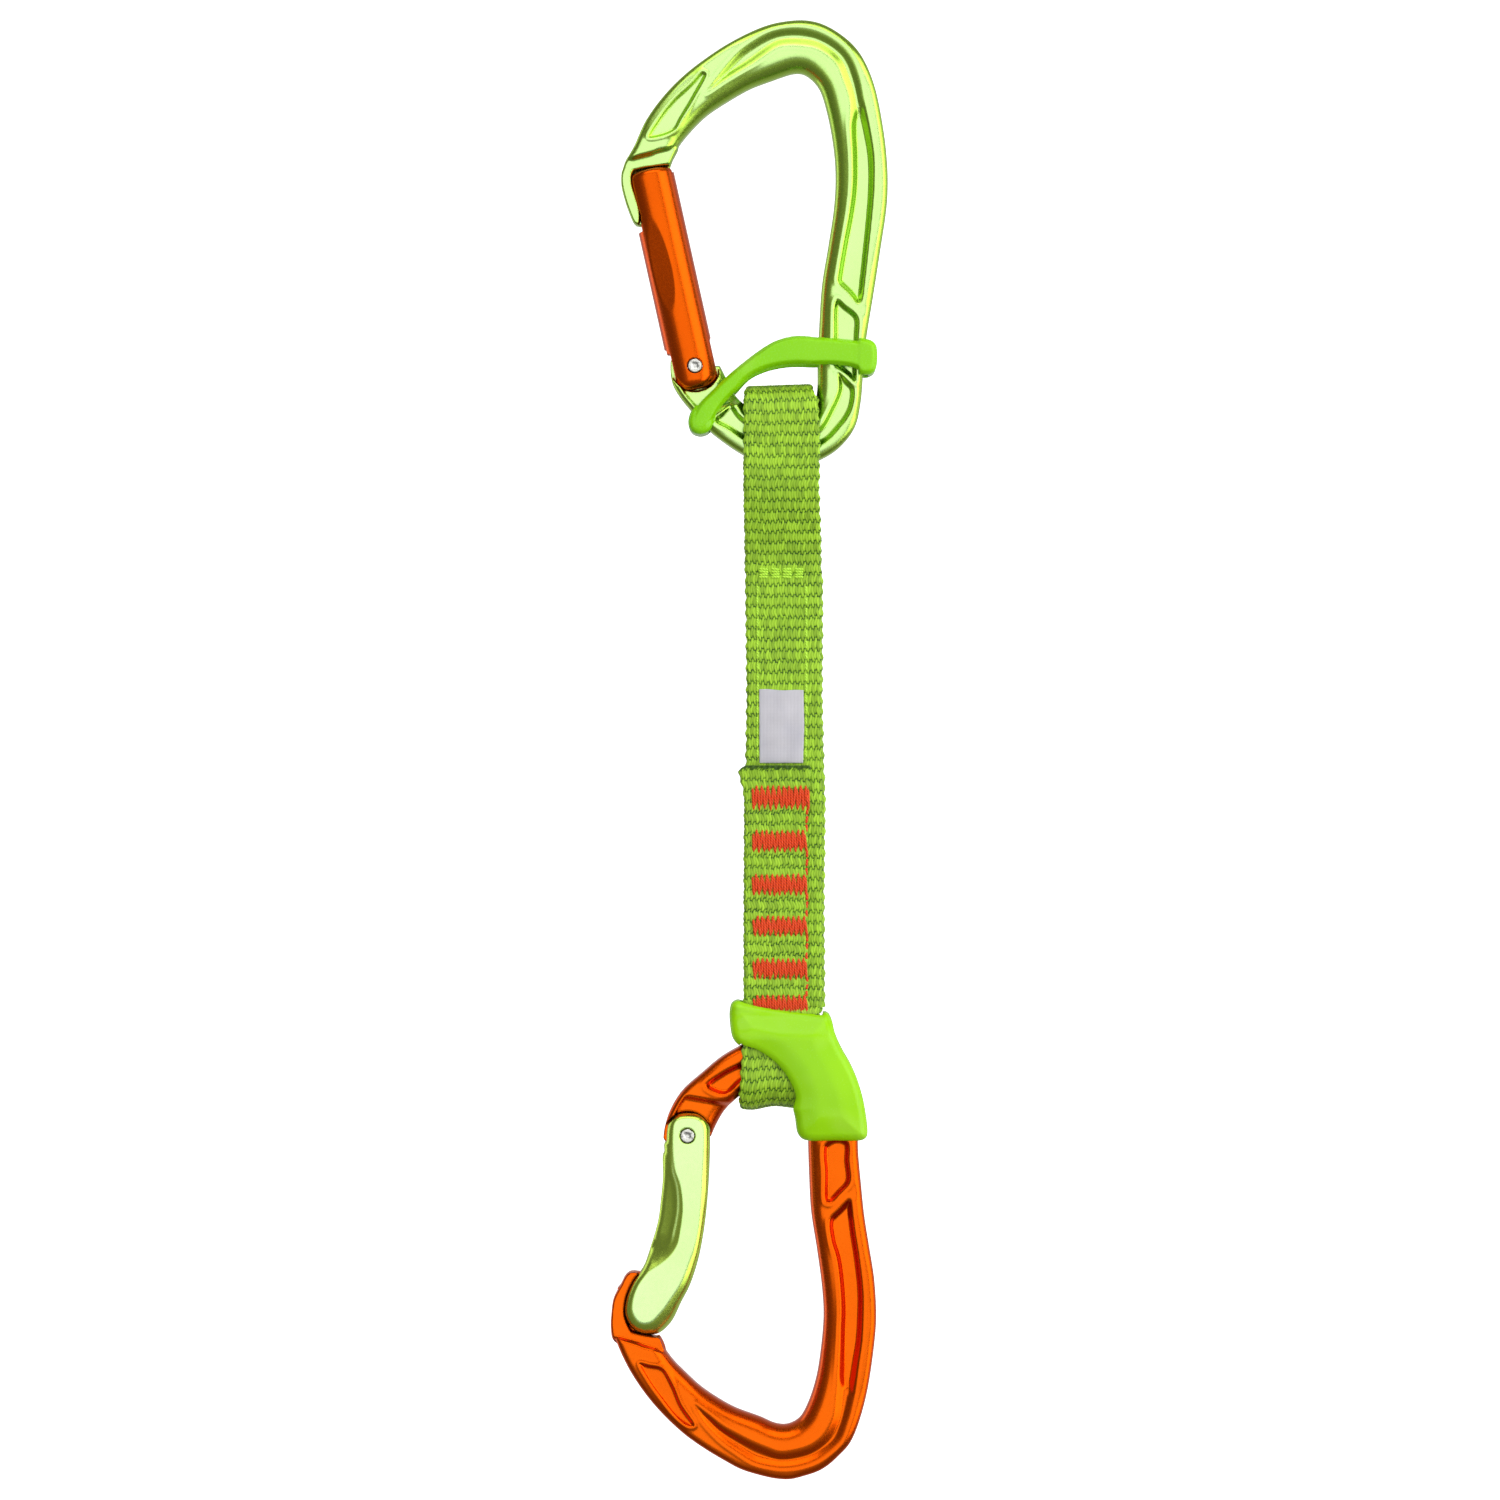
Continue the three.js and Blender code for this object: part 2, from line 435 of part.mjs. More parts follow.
// thumb flats on the outer side, front and back
for (const side of [-1, 1]) {
  const cut = new THREE.Shape([[9, 34.5], [r + 0.05, 34.5], [4.9, 29.5], [4.1, 20], [4.3, 14.5], [r + 0.05, 11.2], [9, 11.2]].map(V2));
  const g = new THREE.ExtrudeGeometry(cut, { depth: 20, bevelEnabled: false });
  g.translate(0, 0, -10);
  g.rotateX(Math.PI / 2); // outward along +X, up along +Z
  g.rotateZ(side < 0 ? THREE.MathUtils.degToRad(-135) : THREE.MathUtils.degToRad(135));
  g.translate(GATE_OFFSET, 0, 0);
  upperGate = upperGate.subtract(toSolid(g));
}
upperGate = seat(gateHinge(upperGate), UPPER_PIVOT, GATE_TILT);
upperGate = upperGate
  .subtract(plate(UPPER_GATE_CUT, -9, 9))
  .subtract(plate(UPPER_GATE_SLOT, -SLOT_HALF, SLOT_HALF))
  .subtract(plate(UPPER_GATE_KEYWAY, -KEYWAY_HALF, KEYWAY_HALF));
addNode('upper_gate', upperGate, orangeMetal());

const lowerGateOutline = smoothClosed(LOWER_GATE, 2.2);
let lowerGate = plate(lowerGateOutline, -5.1, 5.1, 1.5, 2).add(plate(smoothClosed(LOWER_GATE_PANEL, 2.2), -5.7, 5.7, 0.5, 1));
// bring it to its pivot frame for the hinge end, then back
lowerGate = lowerGate.translate([-LOWER_PIVOT[0], 0, -LOWER_PIVOT[1]]).rotate([180, 0, 0]);
lowerGate = seat(gateHinge(lowerGate), LOWER_PIVOT, 0, true);
lowerGate = lowerGate
  .subtract(plate(LOWER_GATE_SLOT, -SLOT_HALF, SLOT_HALF))
  .subtract(plate(LOWER_GATE_KEYWAY, -KEYWAY_HALF, KEYWAY_HALF));
addNode('lower_gate', lowerGate, greenMetal());

// ---- rivets, plungers and springs ----
function rivet(half) {
  return turnedY([[0, -half], [RIVET_R - 0.45, -half], [RIVET_R, -half + 0.35], [RIVET_R, half - 0.35], [RIVET_R - 0.45, half], [0, half]], 0, 0, 32);
}
const plunger = () => turnedZ([[0, 3.5], [PLUNGER_R - 0.35, 3.5], [PLUNGER_R, 3.85], [PLUNGER_R, 8.5], [0, 8.5]], PLUNGER_X, 24);
function spring() {
  class Helix extends THREE.Curve {
    getPoint(t, target = new THREE.Vector3()) {
      const turns = SPRING_TURNS;
      const a = t * turns * Math.PI * 2;
      return target.set(PLUNGER_X + SPRING_R * Math.cos(a), SPRING_R * Math.sin(a), SPRING_Z0 + SPRING_WIRE + t * (SPRING_Z1 - SPRING_Z0 - 2 * SPRING_WIRE));
    }
  }
  const wire = new THREE.Shape(Array.from({ length: 6 }, (_, i) => new THREE.Vector2(SPRING_WIRE * Math.cos((i * Math.PI) / 3), SPRING_WIRE * Math.sin((i * Math.PI) / 3))));
  return toSolid(new THREE.ExtrudeGeometry(wire, { steps: SPRING_TURNS * 10, extrudePath: new Helix(), bevelEnabled: false }));
}
addNode('upper_gate_rivet', seat(rivet(5.75), UPPER_PIVOT, GATE_TILT), steel());
addNode('upper_gate_plunger', seat(plunger(), UPPER_PIVOT, GATE_TILT), steel());
addNode('upper_gate_spring', seat(spring(), UPPER_PIVOT, GATE_TILT), springSteel());
addNode('lower_gate_rivet', seat(rivet(5.85), LOWER_PIVOT, 0, true), steel());
addNode('lower_gate_plunger', seat(plunger(), LOWER_PIVOT, 0, true), steel());
addNode('lower_gate_spring', seat(spring(), LOWER_PIVOT, 0, true), springSteel());

// ---- ring keeper on the upper hook ----
const upperClear = grow(upperOutline, CLEAR);
let band = plate(dedupe(smoothClosed(KEEPER_BAND, 2.2)), -KEEPER_OUT, KEEPER_OUT, 0.8, 2);
band = band.subtract(plate(upperClear, -KEEPER_IN, KEEPER_IN));
band = band.subtract(plate(KEEPER_CORE, -KEEPER_IN, KEEPER_IN));
addNode('upper_keeper_band', band, bandRubber());

// ---- sling ----
// A strip of the given thickness along a centre line in Y and Z.
function strip(center, thickness) {
  const left = [];
  const right = [];
  const n = center.length;
  center.forEach((p, i) => {
    const a = center[Math.max(0, i - 1)];
    const b = center[Math.min(n - 1, i + 1)];
    const t = new THREE.Vector2().subVectors(b, a).normalize();
    left.push(new THREE.Vector2(p.x - (t.y * thickness) / 2, p.y + (t.x * thickness) / 2));
    right.push(new THREE.Vector2(p.x + (t.y * thickness) / 2, p.y - (t.x * thickness) / 2));
  });
  return left.concat(right.reverse());
}
const ply = TAPE + PLY_GAP;
const yBack = ply / 2;
const yFront = -ply / 2;
const yFlap = -1.5 * ply;

// upper eye: up the front, over the bar and down the back
const upperEyeLine = [];
for (let i = 0; i <= 10; i++) {
  const t = i / 10;
  const s = t * t * (3 - 2 * t);
  upperEyeLine.push(new THREE.Vector2(yFront + (-LOOP_R - yFront) * s, UPPER_EYE_END + (-93 - UPPER_EYE_END) * t));
}
upperEyeLine.push(new THREE.Vector2(-LOOP_R, -86.5));
for (let i = 0; i <= 16; i++) {
  const a = Math.PI - (i * Math.PI) / 16;
  upperEyeLine.push(new THREE.Vector2(LOOP_R * Math.cos(a), UPPER_LOOP_Z + LOOP_R * Math.sin(a)));
}
upperEyeLine.push(new THREE.Vector2(LOOP_R, -86.5));
for (let i = 10; i >= 0; i--) {
  const t = i / 10;
  const s = t * t * (3 - 2 * t);
  upperEyeLine.push(new THREE.Vector2(yBack + (LOOP_R - yBack) * s, UPPER_EYE_END + (-93 - UPPER_EYE_END) * t));
}
let upperEye = slab(strip(upperEyeLine, TAPE), SLING_X0, SLING_X1 - 0.5);
upperEye = upperEye.subtract(plate(upperClear, -KEEPER_IN + 0.05, KEEPER_IN - 0.05));
addNode('webbing_upper_eye', upperEye, nylon());

// lower eye: from the flap down the front, under the bar and up the back
const lowerEyeLine = [new THREE.Vector2(yFlap, LOWER_EYE_END)];
for (let i = 1; i <= 5; i++) {
  const t = i / 5;
  const s = t * t * (3 - 2 * t);
  lowerEyeLine.push(new THREE.Vector2(yFlap + (-LOOP_R - yFlap) * s, LOWER_EYE_END + (-224.9 - LOWER_EYE_END) * t));
}
for (let i = 0; i <= 16; i++) {
  const a = Math.PI + (i * Math.PI) / 16;
  lowerEyeLine.push(new THREE.Vector2(LOOP_R * Math.cos(a), LOWER_LOOP_Z + LOOP_R * Math.sin(a)));
}
for (let i = 5; i >= 0; i--) {
  const t = i / 5;
  const s = t * t * (3 - 2 * t);
  lowerEyeLine.push(new THREE.Vector2(yBack + (LOOP_R - yBack) * s, LOWER_EYE_END + (-224.9 - LOWER_EYE_END) * t));
}
const lowerClear = grow(lowerOutline, CLEAR);
let lowerEye = slab(strip(lowerEyeLine, TAPE), LOWER_EYE_X0, LOWER_EYE_X1);
lowerEye = lowerEye.subtract(plate(lowerClear, -KEEPER_IN + 0.05, KEEPER_IN - 0.05));
addNode('webbing_lower_eye', lowerEye, nylon());

// the flat plies between the eyes
const flat = (y, z0, z1, x0 = SLING_X0, x1 = SLING_X1) => block(x0, x1, y - TAPE / 2, y + TAPE / 2, z0, z1);
const zTop = UPPER_EYE_END - PLY_GAP;
const zBottom = LOWER_EYE_END + PLY_GAP;
addNode('webbing_back_run', flat(yBack, zBottom, zTop, SLING_X0, SLING_X1 + 0.6), nylon());
addNode('webbing_front_run', flat(yFront, zBottom, zTop), nylon());
addNode('webbing_front_flap', plate(FLAP_OUTLINE, yFlap - TAPE / 2, yFlap + TAPE / 2), nylon());

// stitching on the front
const runFace = yFront - TAPE / 2;
const flapFace = yFlap - TAPE / 2;
const THREAD_GAP = 0.08;
const stitch = (x0, x1, z0, z1, face, h) => plate([[x0, z0], [x1, z0], [x1, z1], [x0, z1]], face - THREAD_GAP - h, face - THREAD_GAP, 0.18, 1);
function sawTack(x0, x1, z0, z1, face, h) {
  const n = 11;
  const pts = [];
  const step = (x1 - x0) / n;
  for (let i = 0; i < n; i++) {
    pts.push([x0 + i * step, z0 + 0.35], [x0 + (i + 0.5) * step, z0]);
  }
  pts.push([x1, z0 + 0.35], [x1, z1 - 0.35]);
  for (let i = n - 1; i >= 0; i--) {
    pts.push([x0 + (i + 0.5) * step, z1], [x0 + i * step, z1 - 0.35]);
  }
  return plate(pts, face - THREAD_GAP - h, face - THREAD_GAP);
}
addNode('tack_top', sawTack(TACK_TOP[0], TACK_TOP[1], TACK_TOP[2], TACK_TOP[3], runFace, 0.5), limeThread());
addNode('seam_left', stitch(SEAM_LEFT_X - 0.35, SEAM_LEFT_X + 0.35, SEAM_Z0, SEAM_Z1, runFace, 0.4), limeThread());
addNode('seam_right', stitch(SEAM_RIGHT_X - 0.35, SEAM_RIGHT_X + 0.35, SEAM_Z0, SEAM_Z1, runFace, 0.4), limeThread());
BAR_TACKS.forEach(([x0, x1, z0, z1], i) => {
  addNode(`bartack_${i + 1}`, sawTack(x0, x1, z0, z1, flapFace, 0.6), redThread());
});
addNode('label', plate(LABEL_OUTLINE, runFace - THREAD_GAP - 0.45, runFace - THREAD_GAP, 0.15, 1), labelCloth());

// ---- sleeve keeper on the lower hook ----
const bootProfile = [[-6.4, -216.5], [-6.5, -218.6], [-9.4, -224.4], [-9.4, -246], [-7.4, -250], [7.4, -250], [9.4, -246], [9.4, -224.4], [4.9, -218.2], [4.6, -216.5]];
const bootCavity = [[-4.85, -210], [-4.85, -218.8], [-7.5, -223.4], [-7.5, -238], [-6.2, -243.0], [6.2, -243.0], [7.5, -238], [7.5, -223.4], [3.0, -218.2], [3.0, -210]];
let boot = plate(smoothClosed(KEEPER_BOOT, 2.0), -9.4, 9.4, 1.2, 2).intersect(slab(bootProfile, -30, 30));
boot = boot.subtract(slab(bootCavity, LOWER_EYE_X0 - 0.4, LOWER_EYE_X1 + 0.4));
boot = boot.subtract(plate(lowerClear, -KEEPER_IN, KEEPER_IN));
addNode('lower_keeper_boot', boot, bootRubber());

export default group;
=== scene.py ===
# Climbing quickdraw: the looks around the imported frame.
# Outlines are in millimetres in the row frame (X, Z); Y is the thickness.
import math

import bpy
import numpy as np
import openvdb
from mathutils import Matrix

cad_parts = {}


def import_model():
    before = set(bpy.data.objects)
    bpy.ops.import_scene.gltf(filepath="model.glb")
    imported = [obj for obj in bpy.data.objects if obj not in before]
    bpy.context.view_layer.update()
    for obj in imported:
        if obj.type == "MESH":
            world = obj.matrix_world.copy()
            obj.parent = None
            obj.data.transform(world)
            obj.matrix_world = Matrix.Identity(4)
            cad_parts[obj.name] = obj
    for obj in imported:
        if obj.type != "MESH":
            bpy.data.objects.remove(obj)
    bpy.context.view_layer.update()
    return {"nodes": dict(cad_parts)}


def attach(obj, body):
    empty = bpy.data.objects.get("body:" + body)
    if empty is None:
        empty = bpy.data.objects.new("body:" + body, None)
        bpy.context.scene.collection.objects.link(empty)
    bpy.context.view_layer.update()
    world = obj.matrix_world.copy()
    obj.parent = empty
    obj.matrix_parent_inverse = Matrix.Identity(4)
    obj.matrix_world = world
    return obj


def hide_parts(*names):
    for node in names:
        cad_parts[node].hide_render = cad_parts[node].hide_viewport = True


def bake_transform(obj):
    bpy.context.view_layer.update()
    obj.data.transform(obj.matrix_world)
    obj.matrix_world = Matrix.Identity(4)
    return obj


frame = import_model()

MM = 0.001
BODY_HALF = 5.2
TANG = 1.5
RIVET_R = 1.75
UPPER_PIVOT = np.array([-23.87, -68.63])
LOWER_PIVOT = np.array([-25.62, -248.3])
TILT = math.radians(12.5)

GRID = 0.234  # the drawing grid of the stitching layout, in mm


def KX(a):
    """A column of the drawing grid as X in mm."""
    return (a - 797) * GRID


def KZ(b):
    """A row of the drawing grid as Z in mm."""
    return (73.7 - b) * GRID


# ------------------------------------------------------------------ outlines
UPPER_OUTER = [
    [-40.60, -22.30], [-39.78, -20.31], [-38.14, -17.39], [-35.33, -11.30], [-30.89, -5.22], [-26.21, -0.54], [-21.06, 3.44], [-15.21, 7.18], [-7.72, 10.69],
    [-2.81, 11.86], [2.11, 12.10], [6.08, 11.16], [10.53, 8.59], [13.81, 5.55], [16.15, 1.80], [18.25, -3.81], [20.01, -12.47], [20.83, -18.79],
    [21.18, -24.87], [20.94, -31.19], [19.42, -41.72], [17.67, -52.95], [16.50, -59.97], [15.80, -65.12], [15.33, -71.67], [14.86, -77.06], [13.57, -82.67],
    [10.06, -87.35], [5.85, -90.16], [0.70, -91.80], [-5.15, -92.03], [-12.17, -89.46], [-20.12, -83.96], [-22.70, -81.39], [-24.80, -78.93], [-27.61, -75.42],
    [-29.13, -72.61], [-29.60, -69.80], [-29.60, -67.23],
]
UPPER_HINGE = [
    [-29.60, -67.23], [-27.50, -66.15], [-22.02, -64.94], [-19.42, -68.40], [-18.02, -68.40],
]
UPPER_INNER = [
    [-18.02, -68.40], [-16.85, -70.74], [-15.44, -73.78], [-13.10, -76.82], [-9.36, -79.86], [-5.15, -81.62], [-1.64, -81.97], [1.64, -81.15], [3.74, -78.69],
    [4.68, -74.48], [4.80, -68.16], [5.15, -59.97], [5.85, -49.44], [7.25, -40.79], [8.66, -31.19], [9.01, -24.17], [8.54, -17.39], [7.02, -9.20],
    [5.27, -3.81], [3.51, -1.59], [1.64, -0.30], [0.00, -0.07], [-1.17, -0.19], [-6.08, -1.83], [-10.76, -3.58], [-15.44, -6.15], [-20.83, -9.66],
    [-23.40, -12.00], [-26.44, -15.40], [-27.85, -17.39], [-28.78, -19.73],
]
UPPER_LAND = [
    [-38.73, -19.73], [-40.95, -23.24], [-41.18, -25.81], [-40.48, -28.85], [-39.31, -27.21], [-38.70, -24.78], [-38.14, -23.00], [-35.57, -22.42], [-31.82, -21.95],
    [-30.19, -22.42], [-29.13, -20.19], [-27.85, -17.39], [-32.06, -17.85],
]
UPPER_PLATE = [
    [-39.31, -19.26], [-40.86, -23.24], [-41.07, -25.81], [-40.25, -29.55], [-38.94, -33.30], [-38.14, -35.05], [-37.44, -35.64], [-36.04, -35.87], [-34.40, -34.23],
    [-33.70, -30.72], [-33.23, -26.04], [-30.19, -23.00], [-29.02, -20.19], [-27.85, -17.39], [-34.40, -17.85],
]
UPPER_KEY = [
    [-39.08, -32.25], [-34.28, -32.60], [-34.40, -34.23], [-36.04, -35.87], [-37.51, -35.64], [-38.26, -34.70],
]
UPPER_LIP = [
    [-39.66, -20.43], [-40.86, -23.24], [-41.07, -25.81], [-40.25, -29.55], [-38.94, -33.30], [-38.14, -35.05], [-37.51, -35.64], [-37.02, -35.40], [-36.83, -32.36],
    [-37.86, -28.62], [-38.52, -26.51], [-38.70, -24.41], [-38.38, -21.36],
]
UP_LEAF = [
    [-34.87, -15.51], [-28.78, -14.11], [-26.68, -10.83], [-23.63, -5.69], [-21.06, -0.30], [-22.00, 0.16], [-25.04, -2.88], [-29.25, -6.86], [-32.53, -11.07],
]
UP_B = [
    [-21.29, -4.98], [-18.95, -1.47], [-14.04, 4.38], [-10.53, 7.07], [-6.55, 9.29], [-2.81, 10.23], [0.70, 10.34], [4.45, 9.64], [8.19, 7.89],
    [11.23, 5.55], [13.10, 2.97], [14.74, -1.47], [15.68, -6.39], [17.08, -13.17], [18.02, -19.73], [18.02, -26.98], [17.32, -35.40], [16.61, -41.96],
    [15.91, -48.27], [15.09, -53.66], [14.27, -54.36], [11.93, -51.78], [9.36, -48.98], [9.59, -46.40], [10.76, -39.38], [11.93, -33.06], [12.64, -26.98],
    [12.64, -20.19], [12.17, -12.71], [12.17, -7.32], [11.47, -4.52], [10.65, -2.41], [9.13, 1.33], [7.25, 3.44], [4.21, 5.31], [0.70, 5.90],
    [-1.64, 6.01], [-4.21, 5.66], [-10.53, 1.57], [-16.85, -2.18],
]
UP_E = [
    [8.66, -53.89], [9.36, -52.95], [11.47, -54.59], [14.27, -57.17], [14.39, -61.38], [14.04, -66.99], [13.57, -72.61], [11.93, -71.21], [9.59, -69.57],
    [8.42, -68.40], [8.42, -61.38],
]
UP_D = [
    [9.59, -70.04], [11.93, -72.14], [13.34, -73.78], [13.10, -77.99], [11.70, -81.03], [9.83, -83.37], [7.49, -85.95], [4.91, -87.59], [0.70, -88.76],
    [-4.45, -88.52], [-9.13, -87.35], [-12.64, -85.95], [-16.15, -83.61], [-19.42, -81.50], [-17.55, -79.16], [-15.44, -77.29], [-13.10, -80.10], [-9.36, -82.91],
    [-5.15, -84.43], [-1.64, -84.90], [2.11, -84.31], [4.91, -83.14], [7.49, -78.93], [9.48, -74.25],
]
LOWER_OUTER = [
    [-42.82, -294.21], [-42.00, -297.02], [-38.84, -303.57], [-33.70, -310.82], [-26.91, -317.61], [-21.76, -321.35], [-17.08, -324.16], [-13.10, -326.27], [-7.72, -327.90],
    [-4.68, -328.49], [-1.64, -328.61], [1.40, -327.90], [4.91, -326.73], [7.25, -325.33], [9.83, -322.99], [12.17, -320.42], [14.04, -316.44], [16.38, -308.01],
    [18.25, -294.91], [18.49, -290.00], [18.02, -281.81], [16.85, -274.32], [15.68, -266.83], [14.86, -258.87], [14.27, -252.09], [14.16, -246.00], [13.81, -241.32],
    [12.87, -236.64], [11.23, -231.73], [8.19, -227.75], [3.98, -225.18], [-1.17, -223.77], [-7.02, -224.01], [-12.87, -227.28], [-17.55, -229.98], [-22.23, -233.84],
    [-27.00, -238.17], [-29.86, -242.96], [-31.05, -246.94], [-31.29, -249.05],
]
LOWER_HINGE = [
    [-31.29, -249.05], [-30.89, -249.75], [-28.62, -251.50], [-23.03, -251.50], [-20.24, -248.70],
]
LOWER_INNER = [
    [-20.12, -248.70], [-18.95, -246.00], [-16.96, -242.61], [-14.62, -240.15], [-11.00, -237.35], [-6.79, -235.24], [-3.04, -234.77], [0.00, -235.71], [1.87, -238.28],
    [2.57, -242.49], [2.57, -249.75], [2.81, -257.70], [3.28, -266.13], [4.68, -275.25], [5.85, -284.15], [6.20, -290.46], [5.62, -297.95], [4.45, -305.21],
    [2.34, -311.52], [0.47, -314.57], [-2.34, -315.97], [-5.15, -315.74], [-8.42, -314.33], [-14.74, -311.99], [-19.66, -309.18], [-22.93, -306.84], [-26.44, -303.57],
    [-28.78, -301.23], [-30.54, -298.89], [-31.94, -295.96],
]
LOWER_LAND = [
    [-42.94, -294.91], [-43.41, -291.17], [-42.12, -292.10], [-39.31, -293.27], [-34.87, -294.21], [-32.99, -294.21], [-32.29, -294.91], [-30.89, -298.65], [-34.40, -298.65],
    [-40.48, -296.55],
]
LOWER_PLATE = [
    [-42.82, -296.55], [-43.52, -293.27], [-43.41, -290.70], [-42.82, -286.49], [-41.09, -283.21], [-40.01, -281.10], [-38.94, -280.31], [-36.74, -280.31], [-35.33, -281.34],
    [-35.10, -284.15], [-35.10, -292.10], [-33.93, -295.26], [-32.99, -295.50], [-32.29, -295.14], [-30.77, -298.89], [-34.40, -299.12],
]
LOWER_KEY = [
    [-42.12, -284.26], [-41.09, -283.21], [-40.01, -281.10], [-38.94, -280.31], [-36.04, -280.31], [-35.33, -281.34], [-35.10, -284.26],
]
LOWER_LIP = [
    [-42.82, -295.85], [-43.45, -293.27], [-43.41, -290.70], [-42.82, -286.49], [-41.09, -283.21], [-40.01, -281.10], [-38.94, -280.31], [-37.11, -280.50], [-38.33, -282.51],
    [-39.97, -286.37], [-40.32, -290.37], [-39.17, -293.51], [-37.81, -296.08],
]
LO_LEAF = [
    [-36.97, -301.23], [-34.40, -301.70], [-31.36, -302.40], [-28.90, -306.38], [-26.91, -311.06], [-23.87, -315.97], [-25.04, -316.32], [-27.94, -314.47], [-32.06, -309.42],
    [-34.87, -305.44],
]
LO_B = [
    [-23.87, -311.06], [-22.23, -314.47], [-20.12, -317.14], [-17.46, -319.71], [-14.04, -322.17], [-10.30, -324.49], [-6.79, -325.49], [-3.11, -325.92], [0.47, -325.56],
    [3.98, -324.49], [7.25, -322.52], [10.25, -319.71], [11.93, -315.50], [13.10, -311.06], [13.81, -306.84], [14.51, -301.46], [15.21, -296.31], [15.44, -291.87],
    [15.44, -284.61], [14.51, -276.42], [13.57, -270.57], [13.10, -266.83], [12.40, -262.97], [9.59, -265.43], [7.49, -267.77], [7.72, -272.45], [9.13, -277.59],
    [10.02, -287.19], [9.83, -293.97], [9.36, -303.80], [8.89, -309.18], [8.35, -313.51], [7.02, -316.67], [5.48, -318.78], [2.81, -320.65], [-0.23, -321.59],
    [-4.07, -322.05], [-7.49, -320.88], [-10.30, -319.71], [-14.04, -317.84], [-17.46, -315.90], [-20.83, -313.16],
]
LO_E = [
    [6.32, -250.45], [9.13, -248.81], [11.93, -249.75], [12.17, -254.19], [12.40, -259.11], [10.06, -261.92], [7.86, -264.02], [6.55, -263.79], [6.32, -257.24],
]
LO_D = [
    [6.32, -247.17], [9.59, -246.24], [9.59, -241.09], [8.19, -235.47], [5.38, -231.26], [0.70, -228.45], [-5.15, -227.75], [-9.36, -228.69], [-13.10, -231.03],
    [-17.55, -233.37], [-21.53, -236.64], [-16.73, -238.87], [-13.10, -235.94], [-9.36, -233.37], [-5.15, -231.96], [-1.17, -232.20], [2.11, -234.07], [4.45, -237.81],
    [5.85, -242.49],
]
LOWER_GATE = [
    [-25.04, -243.08], [-27.14, -243.20], [-28.78, -244.02], [-29.86, -245.19], [-30.42, -247.64], [-30.58, -249.87], [-31.05, -250.22], [-31.05, -252.32], [-31.36, -252.79],
    [-31.36, -257.94], [-31.82, -263.09], [-32.53, -268.47], [-34.28, -274.55], [-36.04, -279.47], [-38.21, -282.51], [-39.83, -286.49], [-40.18, -290.23], [-38.45, -293.51],
    [-36.74, -294.56], [-35.10, -294.91], [-32.29, -294.63], [-29.39, -292.01], [-27.00, -287.19], [-25.08, -283.44], [-23.17, -277.69], [-21.76, -270.57], [-20.83, -262.15],
    [-20.36, -252.56], [-20.36, -248.34], [-20.45, -245.77], [-21.53, -244.13], [-23.17, -243.31],
]
LOWER_PANEL = [
    [-28.08, -244.83], [-28.55, -248.34], [-28.43, -253.96], [-28.08, -256.53], [-27.00, -259.81], [-26.44, -264.49], [-26.63, -267.77], [-27.14, -271.04], [-27.71, -273.85],
    [-29.39, -276.66], [-31.82, -278.65], [-34.63, -280.57], [-36.97, -283.91], [-37.98, -287.19], [-37.91, -289.53], [-36.55, -291.54], [-34.63, -291.63], [-32.29, -289.53],
    [-29.86, -286.25], [-27.47, -282.51], [-25.55, -277.69], [-23.87, -272.91], [-23.17, -269.40], [-22.58, -262.15], [-22.23, -252.56], [-22.11, -247.17], [-22.70, -245.30],
    [-24.10, -244.48], [-26.44, -244.37],
]
BAND = [
    [4.91, -61.31], [10.06, -61.66], [14.27, -62.15], [15.68, -62.36], [17.08, -62.67], [18.25, -63.60], [18.63, -64.89], [18.58, -68.40], [18.02, -70.04],
    [16.61, -70.86], [14.74, -70.74], [12.87, -69.80], [7.96, -69.17], [3.51, -69.22], [0.00, -69.10], [-3.28, -69.33], [-7.25, -70.27], [-10.76, -72.03],
    [-13.34, -74.72], [-15.44, -76.82], [-17.55, -79.40], [-19.66, -82.91], [-20.59, -84.08], [-22.70, -84.78], [-24.57, -84.08], [-25.39, -82.44], [-25.04, -79.86],
    [-23.40, -77.06], [-20.36, -74.01], [-17.78, -71.44], [-15.44, -69.33], [-12.87, -67.23], [-10.30, -65.24], [-7.72, -63.48], [-4.91, -62.03], [-0.23, -60.96],
]
BOOT = [
    [-15.77, -219.09], [-15.21, -217.34], [-13.81, -216.66], [-12.17, -217.11], [-8.66, -218.04], [-1.64, -218.95], [4.91, -219.38], [7.09, -219.61], [7.96, -220.85],
    [8.89, -224.48], [10.53, -228.22], [12.40, -231.50], [14.11, -235.36], [15.21, -238.98], [15.91, -242.49], [16.43, -246.94], [16.26, -248.46], [15.21, -249.28],
    [8.66, -249.42], [2.11, -249.35], [0.82, -248.70], [0.00, -247.41], [-0.59, -243.66], [-1.17, -242.03], [-0.70, -239.45], [-1.64, -236.64], [-3.04, -234.07],
    [-5.62, -231.26], [-9.59, -228.64], [-12.17, -227.80], [-13.81, -226.96], [-14.98, -225.53], [-15.54, -223.31],
]


